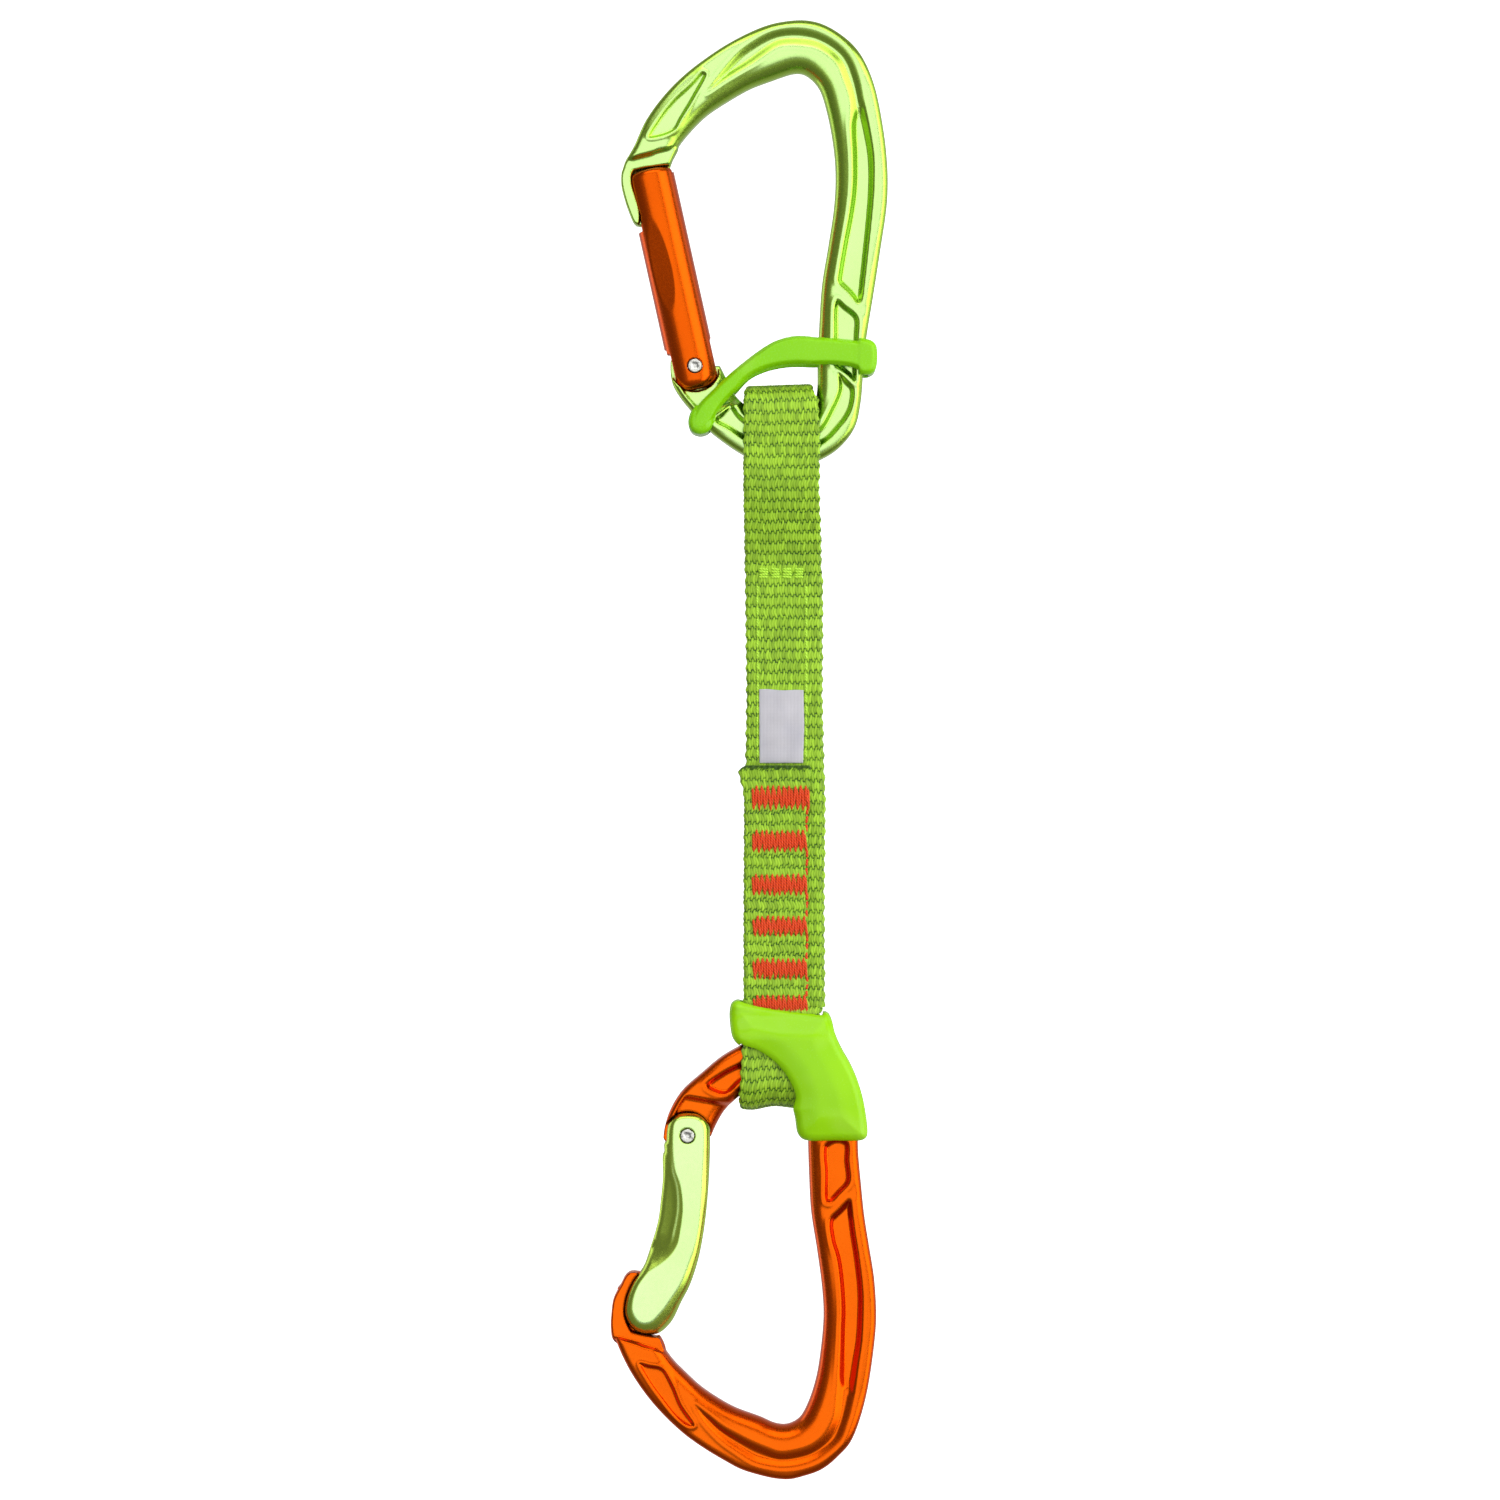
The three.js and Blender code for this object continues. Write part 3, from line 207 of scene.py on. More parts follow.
# ------------------------------------------------------------------ shape helpers
def spline(points, step=1.0, closed=False):
    """A centripetal Catmull-Rom curve through the points, resampled about every step mm."""
    p = np.asarray(points, float)
    if closed:
        ext = np.vstack([p[-1], p, p[0], p[1]])
    else:
        ext = np.vstack([2 * p[0] - p[1], p, 2 * p[-1] - p[-2]])
    out = []
    for i in range(1, len(ext) - 2):
        p0, p1, p2, p3 = ext[i - 1 : i + 3]
        t0 = 0.0
        t1 = t0 + max(1e-6, np.linalg.norm(p1 - p0) ** 0.5)
        t2 = t1 + max(1e-6, np.linalg.norm(p2 - p1) ** 0.5)
        t3 = t2 + max(1e-6, np.linalg.norm(p3 - p2) ** 0.5)
        n = max(1, int(round(np.linalg.norm(p2 - p1) / step)))
        t = np.linspace(t1, t2, n, endpoint=False)[:, None]
        a1 = (t1 - t) / (t1 - t0) * p0 + (t - t0) / (t1 - t0) * p1
        a2 = (t2 - t) / (t2 - t1) * p1 + (t - t1) / (t2 - t1) * p2
        a3 = (t3 - t) / (t3 - t2) * p2 + (t - t2) / (t3 - t2) * p3
        b1 = (t2 - t) / (t2 - t0) * a1 + (t - t0) / (t2 - t0) * a2
        b2 = (t3 - t) / (t3 - t1) * a2 + (t - t1) / (t3 - t1) * a3
        out.append((t2 - t) / (t2 - t1) * b1 + (t - t1) / (t2 - t1) * b2)
    if not closed:
        out.append(p[-1:])
    return np.vstack(out)


def curve_distance(line, X, Z, closed=False):
    """Unsigned distance to a polyline."""
    p = np.asarray(line, float)
    q = np.roll(p, -1, axis=0) if closed else p[1:]
    p = p if closed else p[:-1]
    d2 = np.full(X.shape, 1e9)
    for (ax, az), (bx, bz) in zip(p, q):
        ex, ez = bx - ax, bz - az
        ee = ex * ex + ez * ez
        if ee < 1e-12:
            continue
        wx, wz = X - ax, Z - az
        t = np.clip((wx * ex + wz * ez) / ee, 0, 1)
        d2 = np.minimum(d2, (wx - t * ex) ** 2 + (wz - t * ez) ** 2)
    return np.sqrt(d2)


def outline_distance(line, X, Z):
    """Signed distance to a closed outline, negative inside."""
    p = np.asarray(line, float)
    q = np.roll(p, -1, axis=0)
    inside = np.zeros(X.shape, bool)
    for (ax, az), (bx, bz) in zip(p, q):
        if az == bz:
            continue
        inside ^= ((az > Z) != (bz > Z)) & (X < (bx - ax) * (Z - az) / (bz - az) + ax)
    d = curve_distance(p, X, Z, closed=True)
    return np.where(inside, -d, d)


def smoothstep(x):
    x = np.clip(x, 0, 1)
    return x * x * (3 - 2 * x)


def meet(a, b, r):
    """Intersection of two fields with a rounded edge."""
    return np.minimum(np.maximum(a + r, b + r), 0) + np.sqrt(np.maximum(a + r, 0) ** 2 + np.maximum(b + r, 0) ** 2) - r


def join(a, b, r=0.35):
    """Union of two fields with a small fillet."""
    h = np.clip(0.5 + 0.5 * (b - a) / r, 0, 1)
    return b + (a - b) * h - r * h * (1 - h)


def cut(a, b, r=0.2):
    """Removes field b from field a, with a slightly eased edge."""
    return -join(-a, b, r)


def make_mesh(name, verts, faces, smooth=True, sides=4):
    me = bpy.data.meshes.new(name)
    verts = np.asarray(verts, np.float32)
    faces = np.asarray(faces, np.int32)
    me.vertices.add(len(verts))
    me.vertices.foreach_set("co", verts.ravel())
    me.loops.add(faces.size)
    me.loops.foreach_set("vertex_index", faces.ravel())
    me.polygons.add(len(faces))
    me.polygons.foreach_set("loop_start", np.arange(0, faces.size, sides, dtype=np.int32))
    me.polygons.foreach_set("loop_total", np.full(len(faces), sides, np.int32))
    me.update(calc_edges=True)
    me.validate()
    me.polygons.foreach_set("use_smooth", np.full(len(me.polygons), smooth, bool))
    ob = bpy.data.objects.new(name, me)
    bpy.context.scene.collection.objects.link(ob)
    return ob


class Grid:
    """A box of samples in millimetres, with a 2-D plane for the outline work."""

    def __init__(self, lo, hi, h):
        self.h = h
        self.lo = np.array(lo, float)
        n = [int(math.ceil((hi[i] - lo[i]) / h)) + 1 for i in range(3)]
        x = self.lo[0] + h * np.arange(n[0])
        y = self.lo[1] + h * np.arange(n[1])
        z = self.lo[2] + h * np.arange(n[2])
        self.X2, self.Z2 = np.meshgrid(x, z, indexing="ij")
        self.x, self.y, self.z = x, y, z
        self.Y = y[None, :, None]

    def up(self, plane):
        """A plane field (x, z) spread through the thickness."""
        return plane[:, None, :]

    def mesh(self, field, name, to_world=None):
        f = np.ascontiguousarray(np.broadcast_to(field, (len(self.x), len(self.y), len(self.z))) / self.h, dtype=np.float32)
        g = openvdb.FloatGrid(3.0)
        g.copyFromArray(np.clip(f, -3, 3))
        pts, quads = g.convertToQuads(isovalue=0.0)
        pts = np.asarray(pts, float) * self.h + self.lo
        if to_world is not None:
            pts = to_world(pts)
        return make_mesh(name, pts * MM, np.asarray(quads, np.int32))


def mark_painted_highlight(ob):
    """Stores how squarely each point faces front or back: the mask for a highlight painted paler onto the front- and
    back-facing flats of the forgings and gates.
    """
    me = ob.data
    n = np.empty(len(me.vertices) * 3, np.float32)
    me.vertices.foreach_get("normal", n)
    ny = np.abs(n.reshape(-1, 3)[:, 1])
    # painted highlight mask: 1 where the surface faces squarely front or back
    at = me.attributes.new("flat", "FLOAT", "POINT")
    at.data.foreach_set("value", smoothstep((ny - 0.90) / 0.09).astype(np.float32))
    return ob


def local_frame(X, Z, pivot, tilt, flip):
    """Coordinates in a gate's own frame: x across it, z toward its free end."""
    dx, dz = X - pivot[0], Z - pivot[1]
    if flip:
        return dx, -dz
    c, s = math.cos(tilt), math.sin(tilt)
    return dx * c + dz * s, -dx * s + dz * c


def beyond(X, Z, line, toward):
    """Signed distance past a straight line, positive on the side of the point toward."""
    (ax, az), (bx, bz) = line[:2]
    nx, nz = bz - az, -(bx - ax)
    ln = math.hypot(nx, nz)
    if (toward[0] - ax) * nx + (toward[1] - az) * nz < 0:
        ln = -ln
    return ((X - ax) * nx + (Z - az) * nz) / ln


# ------------------------------------------------------------------ forgings
def forging(name, outer, hinge, inner, land, web, key, lip, channels, leaf, pivot, tilt, flip, basket, step_line, hinge_step, arc_r, recess_r, ramp):
    outer_s, inner_s = spline(outer, 1.0), spline(inner, 1.0)
    outline = np.vstack([outer_s, np.array(hinge, float)[1:], inner_s])
    lo2, hi2 = outline.min(0) - 2.0, outline.max(0) + 2.0
    g = Grid((lo2[0] - 1.2, -6.6, lo2[1]), (hi2[0], 6.6, hi2[1]), 0.27)
    X, Z, Y = g.X2, g.Z2, g.Y
    d = outline_distance(outline, X, Z)
    d_out = curve_distance(outer_s, X, Z)
    d_in = curve_distance(inner_s, X, Z)
    near_basket = np.exp(-(((X - basket[0]) ** 2 + (Z - basket[1]) ** 2) / 22.0**2))
    r_out = 1.7
    r_in = 3.4 + 1.4 * near_basket
    w = smoothstep((d_out - d_in) / 3.0 + 0.5)
    r = r_out * (1 - w) + r_in * w
    # half thickness, with its sunk channels and the thin raised bead around them
    H = np.full(X.shape, BODY_HALF)
    for pts, depth, wall, bead in channels:
        s = outline_distance(spline(pts, 0.8, closed=True), X, Z)
        if ramp is not None:
            depth = depth - 0.6 * (1 - smoothstep(beyond(X, Z, ramp, ramp[2]) / 1.9 + 0.5)) * (np.hypot(X - ramp[0][0], Z - ramp[0][1]) < 75)
        hollow = np.exp(-(((X - basket[0] - 6) ** 2 + (Z - basket[1]) ** 2) / 24.0**2))
        H -= depth * smoothstep(-s / (wall + 1.1 * hollow))
        H += bead * np.exp(-(((s - 0.5) / 0.55) ** 2))
    s = outline_distance(spline(leaf, 0.7, closed=True), X, Z)
    H -= 0.55 * smoothstep(-s / 0.9)
    H += 0.26 * np.exp(-(((s - 0.1) / 0.48) ** 2))
    # sunk step toward the nose and toward the hinge
    (ax, az), (bx, bz) = step_line
    past = beyond(X, Z, step_line, pivot)
    near = np.hypot(X - (ax + bx) / 2, Z - (az + bz) / 2) < 16
    H = np.where(near, H - (BODY_HALF - 3.7) * smoothstep(past / 1.3 + 0.5), H)
    past = beyond(X, Z, hinge_step, pivot)
    near = np.hypot(X - pivot[0], Z - pivot[1]) < 19
    rim = smoothstep((d_out - 1.15) / 0.5)
    H = np.where(near, H - (BODY_HALF - 3.5) * smoothstep(past / 1.4 + 0.5) * rim, H)
    f = meet(g.up(d), np.abs(Y) - g.up(H), g.up(r))
    # clearance around the ears of the gate, which leaves the thin tang
    lx, lz = local_frame(X, Z, pivot, tilt, flip)
    circle = np.hypot(lx, lz) - recess_r
    horn = np.maximum(5.25 - lx, lz + 0.9)
    region = np.maximum(circle, -np.maximum(horn, -9))
    region = np.minimum(region, np.maximum(np.maximum(np.abs(lx + 0.5) - 5.9, 0.5 - lz), lz - 9))
    recess = np.maximum(g.up(region), TANG - np.abs(Y))
    f = cut(f, recess, 0.25)
    f = np.maximum(f, g.up(RIVET_R + 0.08 - np.hypot(lx, lz)))
    # nose: sunk land, thin web, key head and outer lip
    arc = np.hypot(lx, lz)
    d_land = outline_distance(np.array(land), X, Z)
    d_land = cut(d_land, arc - arc_r, 0.1)
    f = join(f, meet(g.up(d_land), np.abs(Y) - 3.7, 0.7), 0.5)
    f = join(f, meet(g.up(outline_distance(spline(web, 0.8, closed=True), X, Z)), np.abs(Y) - TANG, 0.2), 0.25)
    f = join(f, meet(g.up(outline_distance(np.array(key), X, Z)), np.abs(Y) - 2.5, 0.4), 0.2)
    f = join(f, meet(g.up(outline_distance(spline(lip, 0.8, closed=True), X, Z)), np.abs(Y) - 3.7, 0.55), 0.3)
    return mark_painted_highlight(g.mesh(f, name))


def channel(pts, depth, wall=1.2, bead=0.14):
    return (pts, depth, wall, bead)


upper_body = forging(
    "upper_body_forging", UPPER_OUTER, UPPER_HINGE, UPPER_INNER, UPPER_LAND, UPPER_PLATE, UPPER_KEY, UPPER_LIP,
    [channel(UP_B, 1.6, 1.35), channel(UP_E, 1.3), channel(UP_D, 1.3)], UP_LEAF, UPPER_PIVOT, TILT, False,
    (0.0, 4.0),
    ([
    [-27.85, -17.50],
][0], [
    [-38.84, -20.31],
][0]), ([
    [-20.59, -80.33],
][0], [
    [-12.87, -76.35],
][0]), 47.42, 5.98,
    ramp=([
    [12.17, -12.71],
][0], [
    [16.15, -6.39],
][0], [
    [15.21, -29.55],
][0]),
)
lower_body = forging(
    "lower_body_forging", LOWER_OUTER, LOWER_HINGE, LOWER_INNER, LOWER_LAND, LOWER_PLATE, LOWER_KEY, LOWER_LIP,
    [channel(LO_B, 1.6, 1.35), channel(LO_E, 1.3), channel(LO_D, 1.3)], LO_LEAF, LOWER_PIVOT, 0.0, True,
    (-3.0, -320.0),
    ([
    [-42.35, -295.26],
][0], [
    [-30.42, -298.89],
][0]), ([
    [-14.98, -241.21],
][0], [
    [-26.44, -239.22],
][0]), 47.72, 5.64,
    ramp=([
    [9.59, -304.50],
][0], [
    [12.87, -308.72],
][0], [
    [12.40, -286.95],
][0]),
)


# ------------------------------------------------------------------ gates
def hinge_cuts(f, lx, Y, lz, up, clip, shoulder):
    """The ear slot, the plunger bore, the rivet hole and the narrowed, rounded hinge end, in the gate's frame."""
    if shoulder:
        f = np.maximum(f, up(np.minimum(-5.05 - lx, 4.0 - lz)))
        f = np.maximum(f, up(np.minimum(lx - 4.75, 5.6 - lz)))
    f = np.maximum(f, up(np.minimum(np.hypot(lx, lz) - clip, 1.4 - lz)))
    slot = np.maximum(np.abs(Y) - 1.75, up(lz - 5.2))
    f = np.maximum(f, -slot)
    bore = np.maximum(np.sqrt(up((lx - 1.2) ** 2) + Y**2) - 1.4, up(lz - 14.2))
    f = np.maximum(f, -bore)
    f = np.maximum(f, up(RIVET_R + 0.03 - np.hypot(lx, lz)))
    return f


def upper_gate_mesh():
    g = Grid((-7.2, -6.4, -6.6), (6.6, 6.4, 48.6), 0.22)
    LX, LZ, Y = g.X2, g.Z2, g.Y
    up = g.up
    rho = np.sqrt(up((LX + 0.55) ** 2) + Y**2)
    zc = up(np.maximum(np.hypot(LX, LZ) - 47.2, -5.4 - LZ))
    round_end = up(np.where(LZ > 20, 1.4, 2.7))
    f = meet(rho - 5.6, zc, round_end)
    # thumb flats, front and back: a shallow scoop on the outer side
    t = np.where(LZ > 23.3, (LZ - 23.3) / 12.2, (LZ - 23.3) / 9.4)
    n_lim = 5.6 - 0.62 * (1 - t**2)
    a = math.radians(23)
    for side in (-1, 1):
        n = -(up(LX) + 0.55) * math.sin(a) + side * Y * math.cos(a)
        f = cut(f, up(n_lim) - n, 0.12)
    f = hinge_cuts(f, LX, Y, LZ, up, 5.86, True)
    # world plane coordinates for the nose cuts
    c, s = math.cos(TILT), math.sin(TILT)
    WX = UPPER_PIVOT[0] + LX * c - LZ * s
    WZ = UPPER_PIVOT[1] + LX * s + LZ * c
    side_cut = outline_distance(np.array([
    [-48.44, -10.83], [-38.61, -10.83], [-38.61, -26.28], [-38.03, -28.62], [-36.60, -33.30], [-36.46, -36.34], [-48.44, -39.62],
]), WX, WZ)
    f = cut(f, up(side_cut), 0.3)
    slot = outline_distance(np.array([
    [-48.44, -10.83], [-27.85, -10.83], [-28.78, -22.77], [-32.29, -26.75], [-32.88, -31.66], [-48.44, -31.66],
]), WX, WZ)
    f = np.maximum(f, -np.maximum(up(slot), np.abs(Y) - 1.85))
    key = outline_distance(np.array([
    [-48.44, -31.43], [-33.23, -31.43], [-33.34, -34.70], [-35.33, -36.93], [-48.44, -40.08],
]), WX, WZ)
    f = np.maximum(f, -np.maximum(up(key), np.abs(Y) - 2.9))

    def world(p):
        out = p.copy()
        out[:, 0] = UPPER_PIVOT[0] + p[:, 0] * c - p[:, 2] * s
        out[:, 2] = UPPER_PIVOT[1] + p[:, 0] * s + p[:, 2] * c
        return out

    return mark_painted_highlight(g.mesh(f, "upper_gate_bar", world))


def lower_gate_mesh():
    line = spline(LOWER_GATE, 0.8, closed=True)
    panel = spline(LOWER_PANEL, 0.8, closed=True)
    lo2, hi2 = line.min(0) - 1.2, line.max(0) + 1.2
    g = Grid((lo2[0], -6.6, lo2[1]), (hi2[0], 6.6, hi2[1]), 0.22)
    X, Z, Y = g.X2, g.Z2, g.Y
    up = g.up
    d = outline_distance(line, X, Z)
    p = outline_distance(panel, X, Z)
    lx, lz = local_frame(X, Z, LOWER_PIVOT, 0.0, True)
    # a flat panel edged by a crease, with broad shoulders that fall away ever more steeply
    out = np.sqrt(np.maximum(p, 0) ** 2 + 0.06) - 0.245
    shoulder = 0.36 * out + 0.13 * out**2
    # thumb scoop: the outer side leans away from the panel's edge to the rim
    scoop = smoothstep((lz - 3.0) / 6.5) * (1 - smoothstep((lz - 22.5) / 6.0)) * (X < -20)
    ridge = 0.16 * np.exp(-((out - 1.25 - 0.05 * (lz - 12.0)) / 0.5) ** 2)
    hollow = np.clip(0.60 * out - 0.018 * out**2 - ridge, 0, 3.1)
    H = 5.65 - np.clip(shoulder + (hollow - shoulder) * scoop, 0, 3.3)
    f = meet(up(d), np.abs(Y) - up(H), 1.3)
    f = hinge_cuts(f, lx, Y, lz, up, 5.5, False)
    slot = outline_distance(np.array([
    [-50.78, -283.21], [-34.28, -283.21], [-34.52, -292.57], [-32.06, -297.48], [-50.78, -302.16],
]), X, Z)
    f = np.maximum(f, -np.maximum(up(slot), np.abs(Y) - 1.85))
    key = outline_distance(np.array([
    [-50.78, -275.25], [-37.67, -278.30], [-34.87, -279.23], [-34.16, -281.34], [-34.16, -284.61], [-50.78, -284.61],
]), X, Z)
    f = np.maximum(f, -np.maximum(up(key), np.abs(Y) - 2.9))
    return mark_painted_highlight(g.mesh(f, "lower_gate_bar"))


upper_gate = upper_gate_mesh()
lower_gate = lower_gate_mesh()


# ------------------------------------------------------------------ rivets
def rivet_mesh(name, pivot, half):
    """A peened rivet: its head is dished in the middle and its edge is hammered into flats."""
    g = Grid((-2.4, -half - 0.8, -2.4), (2.4, half + 0.8, 2.4), 0.11)
    X, Z, Y = g.X2, g.Z2, g.Y
    rho = np.hypot(X, Z)
    ang = np.arctan2(Z, X)
    flats = 1.66 - 0.07 * np.abs(np.cos(3 * ang + 0.4)) - 0.03 * np.cos(7 * ang)
    shank = g.up(rho) - np.where(np.abs(Y) > half - 0.55, g.up(flats), 1.70)
    dish = half + 0.12 - 0.30 * np.exp(-((rho / 0.75) ** 4)) + 0.05 * np.cos(6 * ang + 1.0) * smoothstep((rho - 0.6) / 0.6)
    f = meet(shank, np.abs(Y) - g.up(dish), 0.28)

    def world(p):
        return p + np.array([pivot[0], 0, pivot[1]])

    return g.mesh(f, name, world)


upper_rivet = rivet_mesh("upper_gate_rivet_peened", UPPER_PIVOT, 5.62)
lower_rivet = rivet_mesh("lower_gate_rivet_peened", LOWER_PIVOT, 5.72)


# ------------------------------------------------------------------ rubber keepers
def upper_band_mesh():
    line = spline(BAND, 0.8, closed=True)
    lo2, hi2 = line.min(0) - 1.5, line.max(0) + 1.5
    g = Grid((lo2[0], -8.6, lo2[1]), (hi2[0], 8.6, hi2[1]), 0.26)
    X, Z, Y = g.X2, g.Z2, g.Y
    d = outline_distance(line, X, Z)
    # a flat face along the strap, with sloping sides, and a bulb at each end
    H = 7.40 - 2.2 * (1 - smoothstep((-d - 0.1) / 1.7))
    bulb = np.hypot(X - -22.93, Z - -81.97)
    H = np.where(bulb < 4.2, np.maximum(H, 6.2 + 1.2 * np.sqrt(np.maximum(0, 1 - (bulb / 3.3) ** 2))), H)
    end = smoothstep((X - 14.04) / 0.6)
    H = H * (1 - end) + (7.5 - 0.5 * (1 - smoothstep((-d - 0.2) / 1.0))) * end
    f = meet(g.up(d), np.abs(Y) - g.up(H), 1.1)
    body = np.vstack([spline(UPPER_OUTER, 1.2), np.array(UPPER_HINGE)[1:], spline(UPPER_INNER, 1.2)])
    core = np.array([
    [16.57, -52.95], [16.57, -81.03], [-6.32, -92.73], [-19.89, -85.71], [-19.89, -84.31], [-24.85, -79.16], [-25.04, -71.67], [-22.70, -52.95],
])
    hollow = np.minimum(outline_distance(body, X, Z) - 0.3, outline_distance(core, X, Z))
    f = cut(f, np.maximum(g.up(hollow), np.abs(Y) - 5.5), 0.3)
    return g.mesh(f, "upper_keeper_ring")


LOOP_R = 6.3
TAPE = 1.6
UP_Z = -79.95
LO_Z = -235.1
EYE_END = -116.8
LOW_END = -218.5


def lower_boot_mesh():
    line = spline(BOOT, 0.8, closed=True)
    lo2, hi2 = line.min(0) - 1.5, line.max(0) + 1.5
    g = Grid((lo2[0], -10.4, lo2[1]), (hi2[0], 10.4, hi2[1]), 0.3)
    X, Z, Y = g.X2, g.Z2, g.Y
    d = outline_distance(line, X, Z)
    t = smoothstep((-217.0 - Z) / 9.0)
    front = 6.1 + 3.2 * t - 0.9 * smoothstep((-236 - Z) / 14.0)
    back = 4.7 + 4.5 * t - 0.9 * smoothstep((-236 - Z) / 14.0)
    lipd = curve_distance(np.array([
    [-14.51, -217.46], [-8.66, -218.16], [6.32, -220.03],
]), X, Z)
    front = front + 0.25 * np.exp(-((lipd - 0.6) / 0.8) ** 2)
    crown = 1.0 * (1 - smoothstep((-d + 0.3) / 6.5)) * smoothstep((-217.5 - Z) / 4.0)
    swell = 0.30 * np.exp(-(((X - 0.70) ** 2 + (Z - -233.13) ** 2) / 30.0)) + 0.22 * np.exp(-(((X - 3.51) ** 2 + (Z - -244.83) ** 2) / 22.0))
    H = np.where(Y < 0, g.up(front), g.up(back)) - g.up(crown) + g.up(swell)
    f = meet(g.up(d), np.abs(Y) - H, 2.0)
    # the hollow for the tape, and for the hook
    path = np.array([(-4.85, -205), (-4.85, -218.6), (-7.45, -223.4), (-7.45, -238), (-6.2, -243), (6.2, -243), (7.45, -238), (7.45, -223.4), (3.0, -218.2), (3.0, -205)])
    yy, zz = np.meshgrid(g.y, g.z, indexing="ij")
    tape = outline_distance(path, yy, zz)[None, :, :]
    xs = g.x[:, None, None]
    right_wall = np.where(g.z[None, None, :] > -220.6, 6.01, 5.50)
    hollow_t = np.maximum(tape, np.maximum(-13.24 - xs, xs - right_wall))
    f = cut(f, hollow_t, 0.3)
    body = np.vstack([spline(LOWER_OUTER, 1.2), np.array(LOWER_HINGE)[1:], spline(LOWER_INNER, 1.2)])
    f = cut(f, np.maximum(g.up(outline_distance(body, X, Z) - 0.25), np.abs(Y) - 5.45), 0.3)
    return g.mesh(f, "lower_keeper_sleeve")


band = upper_band_mesh()
boot = lower_boot_mesh()


# ------------------------------------------------------------------ woven tape
def hash01(i, k=0.0):
    v = np.sin(np.asarray(i, float) * 127.1 + k * 311.7) * 43758.5453
    return v - np.floor(v)


YARN = 0.62
ROW = 2.55


def weave(u, v, seed=0.0):
    """Height of the yarn floats and how deep a point sits between them, at u across and v along, in mm."""
    wob = 0.04 * np.sin(v * 1.9 + seed) + 0.03 * np.sin(v * 0.73 + 2.0 * u)
    c = (u + wob) / YARN
    ci = np.floor(c)
    cf = c - ci
    odd = np.mod(ci, 2)
    off = odd * 0.52 + (hash01(ci, seed) - 0.5) * 0.26
    vv = (v + off + 0.12 * np.sin(u * 0.9 + seed)) / ROW
    vi = np.floor(vv)
    vf = vv - vi
    rnd = hash01(ci + 57 * vi, seed + 3)
    lean = (odd * 2 - 1) * 0.18 * (vf - 0.5) + 0.10 * (rnd - 0.5)
    half = 0.54 * np.sqrt(np.clip(1 - np.abs(2 * vf - 1) ** 4.5, 0, 1)) + 0.06
    q = (cf - 0.5 + lean) / half
    cross = np.sqrt(np.clip(1 - q**2, 0, 1))
    along = np.sqrt(np.clip(1 - np.abs(2 * vf - 1) ** 4.0, 0, 1))
    h = 0.20 * cross * along * (0.85 + 0.3 * rnd)
    # how far a point sits off a float's crown; it drives the painted shade between the floats
    gap_shade = 1 - cross**0.7 * along**0.6
    return h, np.clip(gap_shade, 0, 1), hash01(ci * 7 + vi * 13, seed + 9)


